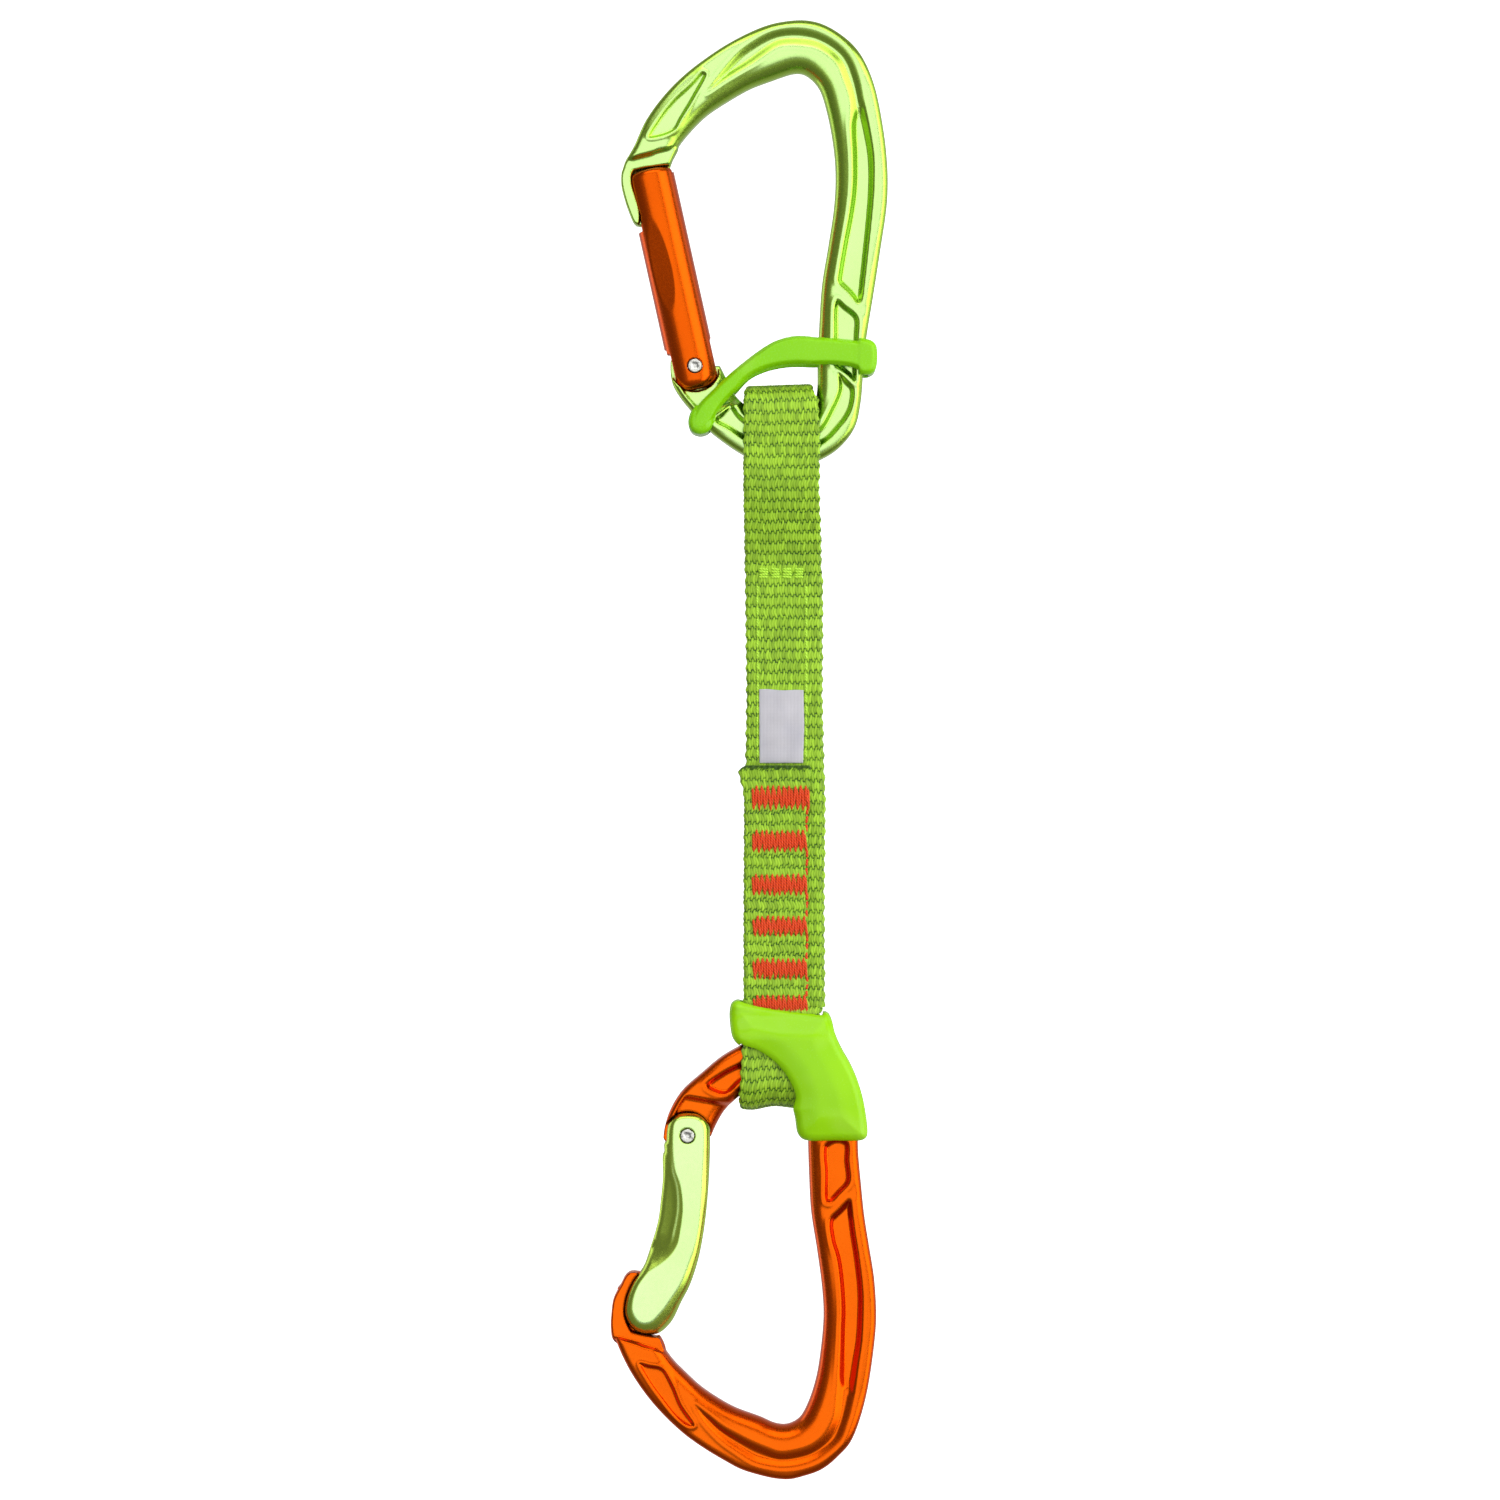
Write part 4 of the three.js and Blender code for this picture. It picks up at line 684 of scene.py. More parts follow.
def tape(name, path, edges, v0=0.0, seed=0.0, outer=1, step=0.2, across=146, both=False, lift=None, sealed=False, warp=None):
    """A woven strip along a path in (Y, Z). edges gives (left, right) X at each path length.
    outer is the side of the path that carries the fine weave: +1 is to the left of travel."""
    p = np.asarray(path, float)
    seg = np.hypot(*np.diff(p, axis=0).T)
    s = np.concatenate([[0], np.cumsum(seg)])
    n = max(4, int(round(s[-1] / step)))
    sv = np.linspace(0, s[-1], n + 1)
    cy, cz = np.interp(sv, s, p[:, 0]), np.interp(sv, s, p[:, 1])
    k = 7
    pad = np.pad(cy, k, mode="reflect", reflect_type="odd"), np.pad(cz, k, mode="reflect", reflect_type="odd")
    ker = np.hanning(2 * k + 3)[1:-1]
    ker /= ker.sum()
    cy, cz = np.convolve(pad[0], ker, "valid"), np.convolve(pad[1], ker, "valid")
    ty, tz = np.gradient(cy), np.gradient(cz)
    tl = np.hypot(ty, tz)
    ny, nz = -tz / tl * outer, ty / tl * outer
    left, right = edges(sv)
    v = sv + v0
    wave_l = 0.16 * np.sin(2 * np.pi * v / ROW + seed) + 0.07 * np.sin(1.3 * v)
    wave_r = 0.16 * np.sin(2 * np.pi * v / ROW + 1.7 + seed) + 0.07 * np.sin(1.1 * v + 1)
    left, right = left - wave_l, right + wave_r
    half_t = TAPE / 2 - 0.13
    # the section: the fine face, then the coarse one back
    a = np.linspace(0, 1, across)
    nb = across if both else 70
    b = np.linspace(1, 0, nb)[1:-1]
    pos = np.concatenate([a, b])
    side = np.concatenate([np.ones(across), -np.ones(nb - 2)])
    U = left[:, None] + (right - left)[:, None] * pos[None, :]
    dist = np.minimum(U - left[:, None], right[:, None] - U)
    edge = np.sqrt(np.clip(1 - (1 - np.clip(dist / 0.75, 0, 1)) ** 2, 0, 1))
    mid = (left + right)[:, None] / 2
    h, gap_shade, var = weave(U - mid + 40.0, v[:, None] + 0 * U, seed)
    h2, gap2, var2 = weave(U - mid + 90.3, v[:, None] + 1.2 + 0 * U, seed + 5)
    fine = side[None, :] > 0
    hh = np.where(fine, h, h2 * (1.0 if both else 0.6))
    off = side[None, :] * (half_t * edge + hh * edge)
    end = np.zeros_like(U)
    if sealed:
        # the cut end is melted: lumpy and a little thicker, and drawn darker along it, partly the melt's own colour
        # and partly painted shade
        end = smoothstep((sv[:, None] - (sv[-1] - 0.95 - 0.2 * np.sin(U * 2.3) - 0.12 * np.sin(U * 7.1))) / 0.3)
        off = off * (1 + 0.16 * end) + side[None, :] * 0.09 * end * np.sin(U * 4.7 + 1.0) * edge
    if lift is not None:
        off = off + lift(sv)[:, None]
    y = cy[:, None] + ny[:, None] * off
    z = cz[:, None] + nz[:, None] * off
    if warp is not None:
        z = z + warp(U, y, z)
    verts = np.stack([U, y, z], axis=-1).reshape(-1, 3) * MM
    m = U.shape[1]
    i, j = np.meshgrid(np.arange(n), np.arange(m), indexing="ij")
    j2 = (j + 1) % m
    q = np.stack([i * m + j, i * m + j2, (i + 1) * m + j2, (i + 1) * m + j], axis=-1).reshape(-1, 4)
    if outer < 0:
        q = q[:, ::-1]
    ob = make_mesh(name, verts, q)
    # the two cut ends
    me = ob.data
    add_caps(ob, m, n)
    # the first attribute: painted shade between the floats, plus the darkening along the cut end; the second: a random
    # tone per float
    for key, val in (("gap_shade", np.maximum(np.where(fine, gap_shade, gap2), 0.9 * end)), ("yarn", np.where(fine, var, var2))):
        at = me.attributes.new(key, "FLOAT", "POINT")
        at.data.foreach_set("value", val.astype(np.float32).ravel())
    return ob


def add_caps(ob, m, n):
    """Closes both ends of a strip with faces between its two sides."""
    import bmesh

    bm = bmesh.new()
    bm.from_mesh(ob.data)
    bm.verts.ensure_lookup_table()
    for base in (0, n * m):
        loop = [bm.verts[base + t] for t in range(m)]
        f = bm.faces.new(loop if base else loop[::-1])
        f.smooth = False
    bmesh.ops.recalc_face_normals(bm, faces=bm.faces)
    bm.to_mesh(ob.data)
    bm.free()


def s_curve(y0, z0, y1, z1, n=14):
    t = np.linspace(0, 1, n)
    e = t * t * (3 - 2 * t)
    return np.stack([y0 + (y1 - y0) * e, z0 + (z1 - z0) * t], axis=1)


PLY = TAPE + 0.3
Y_BACK, Y_FRONT, Y_FLAP = PLY / 2, -PLY / 2, -1.5 * PLY


def upper_loop():
    front = s_curve(Y_FRONT, EYE_END, -LOOP_R, -93)
    ang = np.linspace(math.pi, 0, 26)
    arc = np.stack([LOOP_R * np.cos(ang), UP_Z + LOOP_R * np.sin(ang)], axis=1)
    back = s_curve(Y_BACK, EYE_END, LOOP_R, -93)[::-1]
    return np.vstack([front, arc, back])


def lower_loop():
    front = s_curve(Y_FLAP, LOW_END, -LOOP_R, -224.9, 9)
    ang = np.linspace(math.pi, 2 * math.pi, 26)
    arc = np.stack([LOOP_R * np.cos(ang), LO_Z + LOOP_R * np.sin(ang)], axis=1)
    back = s_curve(Y_BACK, LOW_END, LOOP_R, -224.9, 9)[::-1]
    return np.vstack([front, arc, back])


def edges_by_z(table, path):
    """Edge positions looked up by height; the fold of a loop stays inside the hook."""
    p = np.asarray(path, float)
    seg = np.hypot(*np.diff(p, axis=0).T)
    s = np.concatenate([[0], np.cumsum(seg)])
    t = np.array(sorted(table), float)

    def at(sv):
        z = np.interp(sv, s, p[:, 1])
        return np.interp(z, t[:, 0], t[:, 1]), np.interp(z, t[:, 0], t[:, 2])

    return at


EDGE_TABLE = [
    (-72.84, -11.58, 3.51), (-74.48, -12.29, 3.63), (-76.82, -12.52, 4.91), (-85.71, -12.52, 5.38), (-97.41, -12.47, 5.15),
    (-109.11, -12.24, 5.62), (-125.49, -12.05, 5.73), (-146.55, -11.82, 5.62), (-160.59, -12.05, 5.97),
    (-169.95, -12.29, 6.32), (-193.35, -12.40, 6.08), (-218.16, -12.40, 6.20), (-223.77, -12.52, 5.15),
]
upper_path = upper_loop()
def lean_top(U, y, z):
    """The fold sits a little higher on its right."""
    return (0.035 * (U + 3.4)) * smoothstep((z + 88) / 12.0)


def hang(U, y, z):
    """The lower fold follows the hook's arm, so its middle rises between the corners."""
    return (0.55 * np.exp(-(((U + 5.0) / 3.0) ** 2)) - 0.35 * np.exp(-(((U + 10.5) / 2.4) ** 2))) * smoothstep((-230 - z) / 8.0)


eye_upper = tape("webbing_eye_upper", upper_path, edges_by_z(EDGE_TABLE, upper_path), outer=1, step=0.2, across=140, both=False, warp=lean_top)
front_path = np.array([(Y_FRONT, -219.80), (Y_FRONT, EYE_END)])
run_front = tape("webbing_run_front", front_path, edges_by_z([(z, a, min(b, 5.92)) for z, a, b in EDGE_TABLE], front_path), v0=-(EYE_END - -219.80), outer=1, across=140)
back_path = np.array([(Y_BACK, EYE_END), (Y_BACK, LOW_END)])
back_edges = [(z, a + 0.2, b + 0.35) for z, a, b in EDGE_TABLE]
run_back = tape("webbing_run_back", back_path, edges_by_z(back_edges, back_path), v0=float(np.hypot(*np.diff(upper_path, axis=0).T).sum()), outer=1, across=140, step=0.21, both=False)

FLAP_TABLE = [
    (-161.88, -12.29, 2.81), (-162.47, -13.22, 3.39), (-163.40, -13.67, 3.28), (-165.74, -13.22, 2.93), (-168.32, -12.50, 2.69), (-172.76, -12.36, 2.46),
    (-193.35, -12.45, 2.41), (-216.75, -12.50, 2.57), (-219.56, -12.50, 3.51), (-222.37, -12.52, 4.91),
]
flap_path = np.array([(Y_FLAP, LOW_END), (Y_FLAP, -161.88)])


def tuck(s):
    """The flap is pulled in at each row of stitching and stands up between them."""
    total = -161.88 - LOW_END
    z = LOW_END + s
    out = np.zeros_like(s)
    for row in TACK_ROWS:
        out -= 0.16 * np.exp(-(((z - row) / 1.6) ** 2))
    out += 0.22 * np.exp(-(((z - -162.70) / 1.1) ** 2))
    return out


TACK_ROWS = [-169.37, -179.55, -189.73, -199.44, -209.38, -218.16]
flap = tape("webbing_flap", flap_path, edges_by_z(FLAP_TABLE, flap_path), seed=4.0, outer=1, across=120, lift=tuck, sealed=True)
LOW_TABLE = [
    (-218.86, -12.50, 5.38), (-226.11, -12.64, 5.27), (-230.79, -12.99, 5.15), (-237.81, -13.43, 3.51), (-240.15, -13.57, 2.22), (-242.49, -12.87, 1.99),
]
lower_path = lower_loop()
eye_lower = tape("webbing_eye_lower", lower_path, edges_by_z(LOW_TABLE, lower_path), seed=6.0, outer=-1, across=140, warp=hang)


# ------------------------------------------------------------------ stitching
def threads(name, segments, r, face_y, sink=0.0, sides=8, rings=7, flat=0.8):
    """Short plump threads. Each segment is (x0, z0, x1, z1, lift)."""
    V, F = [], []
    base = 0
    for x0, z0, x1, z1, lift in segments:
        ax = np.array([x1 - x0, z1 - z0])
        L = max(1e-6, np.hypot(*ax))
        ax /= L
        nx = np.array([-ax[1], ax[0]])
        t = np.linspace(0, 1, rings + 2)
        prof = np.sqrt(np.clip(1 - (2 * t - 1) ** 6, 0, 1))
        prof[0] = prof[-1] = 0.12
        arch = np.sin(np.pi * t) * 0.35 * r
        for k in range(rings + 2):
            for a in range(sides):
                w = 2 * math.pi * a / sides
                ox = math.cos(w) * r * prof[k]
                oy = math.sin(w) * r * prof[k] * flat
                x = x0 + (x1 - x0) * t[k] + nx[0] * ox
                z = z0 + (z1 - z0) * t[k] + nx[1] * ox
                y = face_y - sink - lift - arch[k] + oy
                V.append((x * MM, y * MM, z * MM))
        for k in range(rings + 1):
            for a in range(sides):
                b = (a + 1) % sides
                F.append((base + k * sides + a, base + k * sides + b, base + (k + 1) * sides + b, base + (k + 1) * sides + a))
        for cap, k in ((0, 0), (1, rings + 1)):
            ring = [base + k * sides + a for a in range(sides)]
            for q in ((0, 1, 2, 3), (0, 3, 4, 7), (4, 5, 6, 7)):
                F.append(tuple(ring[i] for i in (q if cap else q[::-1])))
        base += (rings + 2) * sides
    ob = make_mesh(name, V, F)
    import bmesh

    bm = bmesh.new()
    bm.from_mesh(ob.data)
    bmesh.ops.recalc_face_normals(bm, faces=bm.faces)
    bm.to_mesh(ob.data)
    bm.free()
    return ob


RUN_FACE = Y_FRONT - TAPE / 2
FLAP_FACE = Y_FLAP - TAPE / 2
rows = [(751.8, 809.5, 797.5, 9.3), (752.2, 806.5, 841, 8.3), (752.0, 807.0, 884.5, 8.0), (753.0, 807.0, 926, 7.6), (753.0, 807.0, 968.5, 7.8), (753.5, 807.5, 1005, 7.6)]
bartacks = []
for i, (xa, xb, yc, half) in enumerate(rows):
    n = 21
    segs = []
    for k in range(n):
        x = xa + (xb - xa) * (k + 0.5) / n
        long = 1.0 if k % 2 else 0.0
        j1, j2, j3 = hash01(k, i), hash01(k, i + 20), hash01(k, i + 40)
        top = yc - half - 3.4 * long + 1.6 * (j1 - 0.5)
        bot = yc + half + 3.4 * (1 - long) + 1.6 * (j2 - 0.5)
        lean = 1.3 * (j3 - 0.5) + (0.7 if k % 2 else -0.7)
        segs.append((KX(x + lean), KZ(top), KX(x - lean), KZ(bot), 0.10 * (j1 - 0.5)))
    if i == 0:
        segs.append((KX(804.5), KZ(797.0), KX(809.0), KZ(800.5), 0.14))
        segs.append((KX(806.5), KZ(795.0), KX(807.2), KZ(803.0), 0.20))
        segs.append((KX(804.0), KZ(800.8), KX(809.0), KZ(797.4), 0.10))
    if i < 5:
        y1 = rows[i + 1][2] - 8
        y0 = yc + half
        m = 3
        for k in range(m):
            segs.append((KX(806.6 + 0.5 * math.sin(k * 2.1)), KZ(y0 + (y1 - y0) * k / m), KX(806.4 + 0.5 * math.sin(k * 2.1 + 2)), KZ(y0 + (y1 - y0) * (k + 1) / m - 0.6), -0.30 + 0.10 * math.sin(k * 1.7 + i)))
    bartacks.append(threads("bartack_threads_%d" % (i + 1), segs, 0.345, FLAP_FACE, sink=-0.02))

segs = []
for gx0, gx1, rowsn in ((758.2, 768.6, 4), (770.8, 779.6, 4), (781.6, 792.0, 4), (794.2, 803.6, 4)):
    for k in range(rowsn):
        y = 569.6 + 2.6 * k
        tilt = (hash01(k, gx0) - 0.5) * 1.4
        segs.append((KX(gx0 + (hash01(k, gx1) - 0.5) * 1.2), KZ(y + tilt), KX(gx1 + (hash01(k + 3, gx1) - 0.5) * 1.2), KZ(y - tilt), 0.04 * (k % 2)))
top_tack = threads("top_tack_threads", segs, 0.31, RUN_FACE, sink=0.02)


def seam(name, x, y0, y1, seed):
    out = []
    y = y0
    k = 0
    while y + 8 < y1:
        w = 0.7 * (hash01(k, seed) - 0.5)
        out.append((KX(x + w), KZ(y), KX(x + w * 0.4), KZ(y + 8.6), -0.02))
        y += 10.9
        k += 1
    return threads(name, out, 0.26, RUN_FACE, sink=0.0)


seam_left = seam("seam_threads_left", 757.3, 586, 766, 1.0)
seam_right = seam("seam_threads_right", 805.9, 586, 766, 2.0)


# ------------------------------------------------------------------ label
def label_mesh():
    """A small woven label, sewn on at its edges and slightly puffed, with its foot under the flap."""
    nx, nz = 70, 110
    u = np.linspace(0, 1, nx)
    v = np.linspace(0, 1, nz)
    U, Vv = np.meshgrid(u, v, indexing="ij")
    left = np.interp(Vv, [0, 1], [KX(759.2), KX(759.6)])
    right = np.interp(Vv, [0, 0.5, 1], [KX(803.4), KX(804.2), KX(803.0)])
    x = left + (right - left) * U
    top = KZ(689.6) - 0.25 * U + 0.10 * np.sin(U * 9)
    z = top + (KZ(763.2) - top) * Vv
    puff = 0.42 * (np.sin(np.pi * np.clip(U, 0, 1)) ** 0.5) * (np.sin(np.pi * np.clip(Vv * 0.96 + 0.02, 0, 1)) ** 0.4)
    ripple = 0.06 * np.sin(Vv * 21 + 1.5 * U) * np.sin(np.pi * U) + 0.05 * np.sin(U * 13 + Vv * 4)
    rib = 0.018 * np.sin(x * 2 * math.pi / 0.5) * np.sin(z * 2 * math.pi / 0.5)
    y = RUN_FACE - 0.22 - puff - ripple - rib
    front = np.stack([x, y, z], -1).reshape(-1, 3)
    back = np.stack([x, y + 0.20, z], -1).reshape(-1, 3)
    verts = np.vstack([front, back]) * MM
    F = []
    off = nx * nz
    for i in range(nx - 1):
        for j in range(nz - 1):
            a, b, c, d = i * nz + j, (i + 1) * nz + j, (i + 1) * nz + j + 1, i * nz + j + 1
            F.append((a, d, c, b))
            F.append((off + a, off + b, off + c, off + d))
    ring = [i * nz for i in range(nx)] + [(nx - 1) * nz + j for j in range(1, nz)] + [i * nz + nz - 1 for i in range(nx - 2, -1, -1)] + [j for j in range(nz - 2, 0, -1)]
    for k in range(len(ring)):
        a, b = ring[k], ring[(k + 1) % len(ring)]
        F.append((a, b, off + b, off + a))
    ob = make_mesh("label_cloth", verts, F)
    import bmesh

    bm = bmesh.new()
    bm.from_mesh(ob.data)
    bmesh.ops.recalc_face_normals(bm, faces=bm.faces)
    bm.to_mesh(ob.data)
    bm.free()
    return ob


label = label_mesh()


# ------------------------------------------------------------------ materials
def lin(r, g, b):
    """An sRGB colour, 0 to 255, as linear numbers."""
    out = []
    for c in (r, g, b):
        c /= 255
        out.append(c / 12.92 if c <= 0.04045 else ((c + 0.055) / 1.055) ** 2.4)
    return (*out, 1.0)


class Mat:
    def __init__(self, name):
        self.m = bpy.data.materials.new(name)
        self.m.use_nodes = True
        self.t = self.m.node_tree
        self.bsdf = self.t.nodes["Principled BSDF"]
        self.coords = self.t.nodes.new("ShaderNodeTexCoord")

    def node(self, kind, **values):
        n = self.t.nodes.new(kind)
        for k, v in values.items():
            if k in n.inputs:
                n.inputs[k].default_value = v
            else:
                setattr(n, k, v)
        return n

    def link(self, a, b):
        self.t.links.new(a, b)

    def mapping(self, scale):
        n = self.node("ShaderNodeMapping")
        n.inputs["Scale"].default_value = scale
        self.link(self.coords.outputs["Object"], n.inputs["Vector"])
        return n.outputs["Vector"]

    def noise(self, scale, detail=3.0, stretch=(1, 1, 1), rough=0.5):
        n = self.node("ShaderNodeTexNoise")
        n.inputs["Scale"].default_value = scale
        n.inputs["Detail"].default_value = detail
        n.inputs["Roughness"].default_value = rough
        self.link(self.mapping(stretch), n.inputs["Vector"])
        return n.outputs["Fac"]

    def ramp(self, fac, stops):
        n = self.node("ShaderNodeValToRGB")
        e = n.color_ramp.elements
        while len(e) > 1:
            e.remove(e[0])
        e[0].position, e[0].color = stops[0]
        for p, c in stops[1:]:
            k = e.new(p)
            k.color = c
        self.link(fac, n.inputs["Fac"])
        return n.outputs["Color"]

    def range(self, value, a, b, to_a, to_b):
        n = self.node("ShaderNodeMapRange")
        for k, v in zip(("From Min", "From Max", "To Min", "To Max"), (a, b, to_a, to_b)):
            n.inputs[k].default_value = v
        self.link(value, n.inputs["Value"])
        return n.outputs["Result"]

    def mix(self, a, b, fac, blend="MIX"):
        n = self.node("ShaderNodeMix", data_type="RGBA", blend_type=blend)
        if isinstance(fac, float):
            n.inputs[0].default_value = fac
        else:
            self.link(fac, n.inputs[0])
        for s, v in ((n.inputs[6], a), (n.inputs[7], b)):
            if isinstance(v, tuple):
                s.default_value = v
            else:
                self.link(v, s)
        return n.outputs[2]

    def attribute(self, name):
        return self.node("ShaderNodeAttribute", attribute_name=name).outputs["Fac"]

    def bump(self, *layers):
        last = None
        for height, strength, distance in layers:
            n = self.node("ShaderNodeBump")
            n.inputs["Strength"].default_value = strength
            n.inputs["Distance"].default_value = distance
            self.link(height, n.inputs["Height"])
            if last is not None:
                self.link(last, n.inputs["Normal"])
            last = n.outputs["Normal"]
        self.link(last, self.bsdf.inputs["Normal"])

    def set(self, **values):
        for k, v in values.items():
            s = self.bsdf.inputs[k.replace("_", " ")]
            if hasattr(v, "links"):
                self.link(v, s)
            else:
                s.default_value = v
        return self


def anodised(name, base, deep, painted_wall_shade, rough=(0.22, 0.31)):
    """Dyed, sealed aluminium: a satin metal with tumbling marks; its colour is painted paler on the flats facing front
    or back as a painted highlight, and deeper on the walls as painted shade.
    """
    m = Mat(name)
    flat = m.range(m.attribute("flat"), 0.0, 1.0, 0.0, 1.0)
    cloud = m.noise(55.0, 4.0)
    fine = m.noise(1900.0, 2.0)
    pits = m.noise(5200.0, 1.0)
    face = m.mix(base, deep, m.range(cloud, 0.35, 0.75, 0.0, 0.5))
    # Base_Color: the walls get the painted shade colour, blended to the flats' colour where the front- or back-facing
    # mask gives the painted highlight
    m.set(
        Base_Color=m.mix(painted_wall_shade, face, flat),
        Metallic=1.0,
        Roughness=m.range(fine, 0.3, 0.7, rough[0], rough[1]),
    )
    m.bump((fine, 0.06, 0.00004), (pits, 0.05, 0.00002))
    return m.m


def steel(name, base, rough, scale=2600.0):
    m = Mat(name)
    n = m.noise(scale, 3.0)
    m.set(Base_Color=m.mix(base, tuple(c * 0.6 for c in base[:3]) + (1.0,), m.range(n, 0.4, 0.7, 0.0, 0.6)), Metallic=1.0, Roughness=m.range(n, 0.3, 0.7, rough - 0.06, rough + 0.08))
    m.bump((n, 0.25, 0.00005))
    return m.m


def rubber(name, base, deep, rough, glow):
    """Moulded rubber, with soft paler patches painted into its skin colour as highlights."""
    m = Mat(name)
    painted_glint_colour = tuple(c * 0.75 + 0.25 * w for c, w in zip(base[:3], (0.85, 1.0, 0.35))) + (1.0,)
    cloud = m.noise(60.0, 3.0)
    skin = m.noise(2400.0, 2.0)
    m.set(
        # the noise-placed paler patches are painted highlights
        Base_Color=m.mix(m.mix(base, deep, m.range(cloud, 0.35, 0.7, 0.0, 0.6)), painted_glint_colour, m.range(m.noise(78.0, 1.0), 0.60, 0.82, 0.0, 0.42)),
        Roughness=m.range(skin, 0.3, 0.7, rough - 0.05, rough + 0.07),
        Subsurface_Weight=glow,
        Subsurface_Radius=(0.6, 1.0, 0.15),
        Subsurface_Scale=0.002,
        Specular_IOR_Level=0.26,
    )
    m.bump((skin, 0.12, 0.00005))
    return m.m


def nylon(name, light, mid, dark):
    """Woven tape: each float is a flat bundle of filaments, with a painted highlight on its crown and painted shade
    where it dives under.
    """
    m = Mat(name)
    gap_shade = m.attribute("gap_shade")
    yarn = m.attribute("yarn")
    # ramp from the crowns' painted highlight through the mid tone to painted shade in the gaps
    body = m.ramp(gap_shade, [(0.0, light), (0.30, mid), (0.66, dark), (1.0, tuple(c * 0.55 for c in dark[:3]) + (1.0,))])
    var = m.ramp(yarn, [(0.0, lin(196, 200, 186)), (1.0, lin(255, 255, 255))])
    col = m.mix(body, var, 1.0, "MULTIPLY")
    cloud = m.noise(90.0, 3.0)
    col = m.mix(col, mid, m.range(cloud, 0.45, 0.8, 0.0, 0.25))
    fil = m.noise(9000.0, 2.0, stretch=(1.0, 1.0, 0.12))
    m.set(Base_Color=col, Roughness=m.range(fil, 0.3, 0.7, 0.42, 0.62))
    m.set(Sheen_Weight=0.04, Sheen_Roughness=0.4, Specular_IOR_Level=0.3)
    m.bump((fil, 0.45, 0.00005))
    return m.m


def thread(name, base, deep, stretch=(1.0, 1.0, 1.0)):
    """Twisted polyester sewing thread."""
    m = Mat(name)
    w = m.node("ShaderNodeTexWave", wave_type="BANDS", bands_direction="DIAGONAL")
    w.inputs["Scale"].default_value = 900.0
    w.inputs["Distortion"].default_value = 2.0
    m.link(m.mapping(stretch), w.inputs["Vector"])
    n = m.noise(4200.0, 2.0)
    m.set(Base_Color=m.mix(base, deep, m.range(w.outputs["Fac"], 0.2, 0.9, 0.0, 0.75)), Roughness=m.range(n, 0.3, 0.7, 0.4, 0.6))
    m.set(Sheen_Weight=0.05, Sheen_Roughness=0.4, Specular_IOR_Level=0.35)
    m.bump((w.outputs["Fac"], 0.5, 0.00008), (n, 0.3, 0.00004))
    return m.m


def cloth(name, base, deep):
    m = Mat(name)
    wx = m.node("ShaderNodeTexWave", wave_type="BANDS", bands_direction="X")
    wz = m.node("ShaderNodeTexWave", wave_type="BANDS", bands_direction="Z")
    for w in (wx, wz):
        w.inputs["Scale"].default_value = 950.0
        w.inputs["Distortion"].default_value = 1.2
        m.link(m.coords.outputs["Object"], w.inputs["Vector"])
    both = m.mix(wx.outputs["Color"], wz.outputs["Color"], 0.5, "MULTIPLY")
    cloud = m.noise(160.0, 4.0)
    m.set(Base_Color=m.mix(base, deep, m.range(cloud, 0.4, 0.75, 0.0, 0.7)), Roughness=0.72)
    m.set(Sheen_Weight=0.4, Sheen_Roughness=0.5)
    m.bump((both, 0.5, 0.00006), (cloud, 0.25, 0.0001))
    return m.m


# each set: the flats' paler colour (painted highlight), a random deeper tone of it, and the painted shade colour for
# the walls
GREEN = anodised("anodised_green", (0.52, 0.765, 0.28, 1), (0.42, 0.665, 0.165, 1), (0.375, 0.60, 0.07, 1))
GREEN_GATE = anodised("anodised_green_gate", (0.575, 0.81, 0.35, 1), (0.485, 0.735, 0.235, 1), (0.50, 0.70, 0.09, 1))
ORANGE = anodised("anodised_orange", (0.73, 0.112, 0.003, 1), (0.63, 0.083, 0.002, 1), (0.66, 0.078, 0.001, 1))
ORANGE_GATE = anodised("anodised_orange_gate", (0.66, 0.090, 0.002, 1), (0.58, 0.074, 0.002, 1), (0.66, 0.078, 0.002, 1))
RIVET = steel("rivet_stainless", (0.62, 0.62, 0.58, 1), 0.34)
PIN = steel("plunger_steel", (0.55, 0.55, 0.54, 1), 0.30)
SPRING = steel("spring_wire", (0.48, 0.48, 0.48, 1), 0.28)
BAND_RUBBER = rubber("keeper_rubber", lin(134, 207, 8), lin(124, 200, 0), 0.24, 0.06)
BOOT_RUBBER = rubber("boot_rubber", lin(150, 213, 0), lin(140, 206, 0), 0.22, 0.08)
# light is the crowns' painted highlight, dark the painted shade between floats
TAPE_GREEN = nylon("nylon_tape_green", lin(172, 217, 54), lin(138, 187, 25), lin(48, 92, 0))
THREAD_RED = thread("thread_red", lin(232, 72, 0), lin(172, 36, 0))
THREAD_LIME = thread("thread_lime", lin(190, 235, 70), lin(130, 190, 30))
CLOTH = cloth("label_weave", lin(190, 188, 194), lin(172, 171, 181))


# ------------------------------------------------------------------ which body each piece rides on
def finish_piece(ob, material, node):
    ob.data.materials.clear()
    ob.data.materials.append(material)
    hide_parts(node)


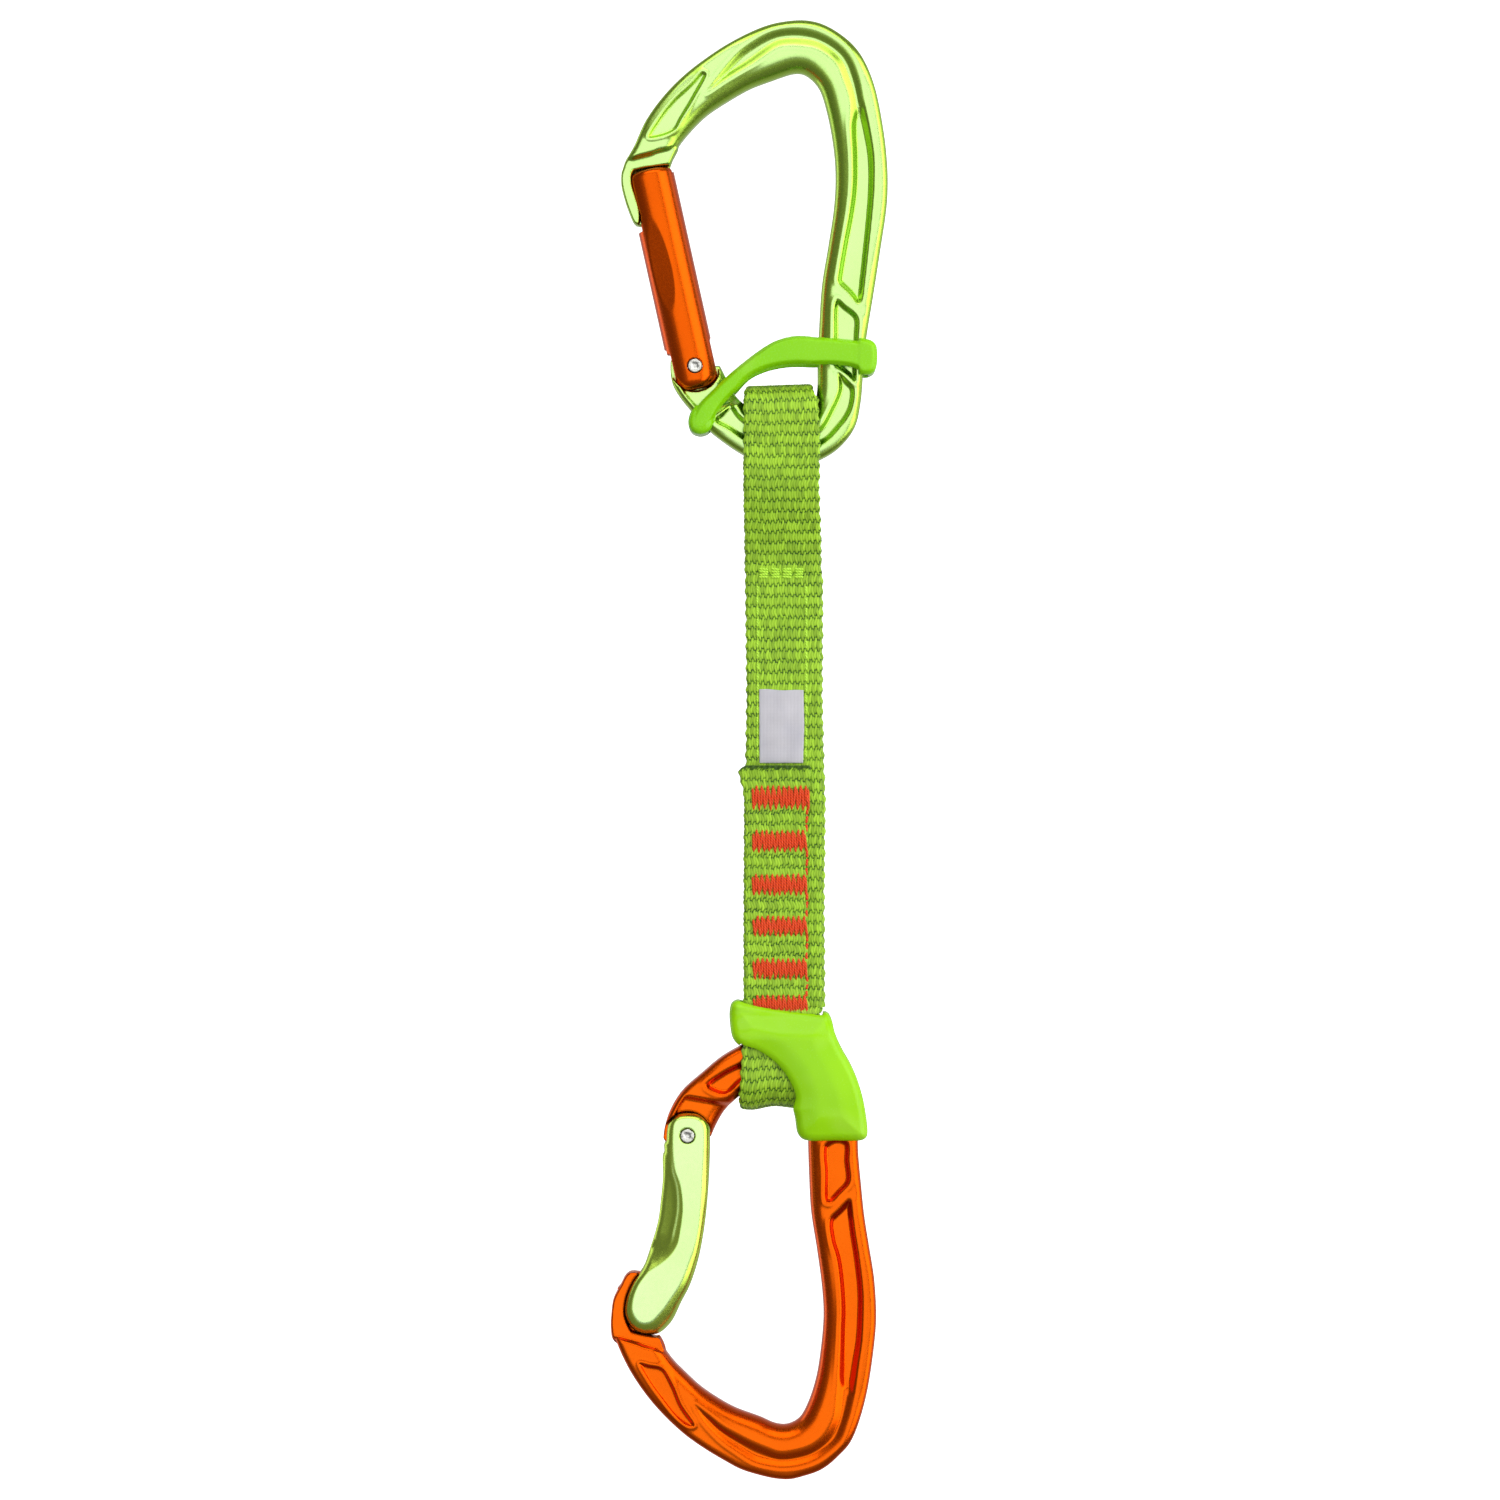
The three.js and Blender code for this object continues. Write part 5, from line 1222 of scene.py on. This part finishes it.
for ob, material, slot, node, body in (
    (upper_body, GREEN, "green_metal", "upper_body", "upper_carabiner"),
    (band, BAND_RUBBER, "band_rubber", "upper_keeper_band", "upper_carabiner"),
    (upper_gate, ORANGE_GATE, "orange_metal", "upper_gate", "upper_gate_arm"),
    (upper_rivet, RIVET, "rivet_steel", "upper_gate_rivet", "upper_gate_arm"),
    (lower_body, ORANGE, "orange_metal", "lower_body", "lower_carabiner"),
    (lower_gate, GREEN_GATE, "green_metal", "lower_gate", "lower_gate_arm"),
    (lower_rivet, RIVET, "rivet_steel", "lower_gate_rivet", "lower_gate_arm"),
    (run_front, TAPE_GREEN, "nylon_tape", "webbing_front_run", "sling"),
    (run_back, TAPE_GREEN, "nylon_tape", "webbing_back_run", "sling"),
    (flap, TAPE_GREEN, "nylon_tape", "webbing_front_flap", "sling"),
    (top_tack, THREAD_LIME, "lime_thread", "tack_top", "sling"),
    (seam_left, THREAD_LIME, "lime_thread", "seam_left", "sling"),
    (seam_right, THREAD_LIME, "lime_thread", "seam_right", "sling"),
    (label, CLOTH, "label_cloth", "label", "sling"),
    *[(ob, THREAD_RED, "red_thread", "bartack_%d" % (i + 1), "sling") for i, ob in enumerate(bartacks)],
):
    finish_piece(ob, material, node)
    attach(ob, body)

finish_piece(eye_upper, TAPE_GREEN, "webbing_upper_eye")
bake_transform(eye_upper)
finish_piece(eye_lower, TAPE_GREEN, "webbing_lower_eye")
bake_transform(eye_lower)
finish_piece(boot, BOOT_RUBBER, "lower_keeper_boot")
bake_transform(boot)

for node, material in (("upper_gate_plunger", PIN), ("lower_gate_plunger", PIN), ("upper_gate_spring", SPRING), ("lower_gate_spring", SPRING)):
    ob = frame["nodes"][node]
    for s in ob.material_slots:
        s.link = "OBJECT"
        s.material = material


# ------------------------------------------------------------------ stage, light and camera
def sweep():
    """A seamless pale shell all round, so the piece can be seen from any side."""
    rings, around, radius = 24, 48, 3.6
    V, F = [], []
    for i in range(rings + 1):
        a = math.pi * i / rings
        for j in range(around):
            b = 2 * math.pi * j / around
            V.append((radius * math.sin(a) * math.cos(b), radius * math.sin(a) * math.sin(b), radius * math.cos(a)))
    for i in range(rings):
        for j in range(around):
            k = (j + 1) % around
            F.append((i * around + j, (i + 1) * around + j, (i + 1) * around + k, i * around + k))
    me = bpy.data.meshes.new("studio_sweep")
    me.from_pydata(V, [], F)
    for p in me.polygons:
        p.use_smooth = True
    ob = bpy.data.objects.new("studio_sweep", me)
    bpy.context.scene.collection.objects.link(ob)
    m = Mat("studio_paper")
    m.set(Base_Color=(0.9, 0.9, 0.9, 1), Roughness=0.9, Emission_Color=(1, 1, 1, 1), Emission_Strength=1.0)
    me.materials.append(m.m)
    ob.visible_glossy = False
    ob.visible_diffuse = False
    ob.visible_shadow = False


sweep()


def area(name, at, look, size, energy, size_y=None):
    li = bpy.data.lights.new(name, "AREA")
    li.energy = energy
    li.shape = "RECTANGLE"
    li.size = size
    li.size_y = size_y or size
    ob = bpy.data.objects.new(name, li)
    ob.location = at
    d = Vector(look) - Vector(at)
    ob.rotation_euler = d.to_track_quat("-Z", "Y").to_euler()
    bpy.context.scene.collection.objects.link(ob)


from mathutils import Vector

area("front_sheet", (-0.14, -2.3, 0.0), (0, 0, -0.16), 2.85, 19.2, 2.0)
area("right_strip", (1.39, -0.8, 0.0), (0, 0, -0.16), 1.3, 23, 2.2)
area("top_strip", (0.0, -0.75, 1.0), (0, 0, -0.16), 1.6, 10.0, 0.9)
area("right_fill", (1.6, 0.3, -0.1), (0, 0, -0.16), 1.2, 4.2, 1.8)
area("left_rim", (-1.35, 0.75, -0.1), (0, 0, -0.16), 0.5, 3.0, 1.8)

world = bpy.data.worlds.new("studio")
bpy.context.scene.world = world
world.use_nodes = True
wt = world.node_tree
coords = wt.nodes.new("ShaderNodeTexCoord")
split = wt.nodes.new("ShaderNodeSeparateXYZ")
shade = wt.nodes.new("ShaderNodeValToRGB")
# a dim room to the sides, lighter in front and bright paper behind
shift = wt.nodes.new("ShaderNodeMath")
shift.operation = "MULTIPLY_ADD"
shift.inputs[1].default_value = 0.5
shift.inputs[2].default_value = 0.5
wt.links.new(coords.outputs["Generated"], split.inputs[0])
wt.links.new(split.outputs["Y"], shift.inputs[0])
wt.links.new(shift.outputs[0], shade.inputs["Fac"])
e = shade.color_ramp.elements
e[0].position, e[0].color = 0.0, (0.45, 0.45, 0.45, 1)
e[1].position, e[1].color = 1.0, (0.60, 0.60, 0.60, 1)
for p, v in ((0.10, 0.42), (0.24, 0.23), (0.52, 0.20), (0.70, 0.45)):
    k = e.new(p)
    k.color = (v, v, v, 1)
wt.links.new(shade.outputs["Color"], wt.nodes["Background"].inputs["Color"])
wt.nodes["Background"].inputs["Strength"].default_value = 1.0

cam = bpy.data.cameras.new("camera")
cam.lens = 153.8
cam.sensor_width = 36.0
cam_ob = bpy.data.objects.new("camera", cam)
cam_ob.location = (-0.0110, -1.5, -0.1583)
cam_ob.rotation_euler = (math.pi / 2, 0, 0)
bpy.context.scene.collection.objects.link(cam_ob)
bpy.context.scene.camera = cam_ob
bpy.context.scene.view_settings.view_transform = "Standard"
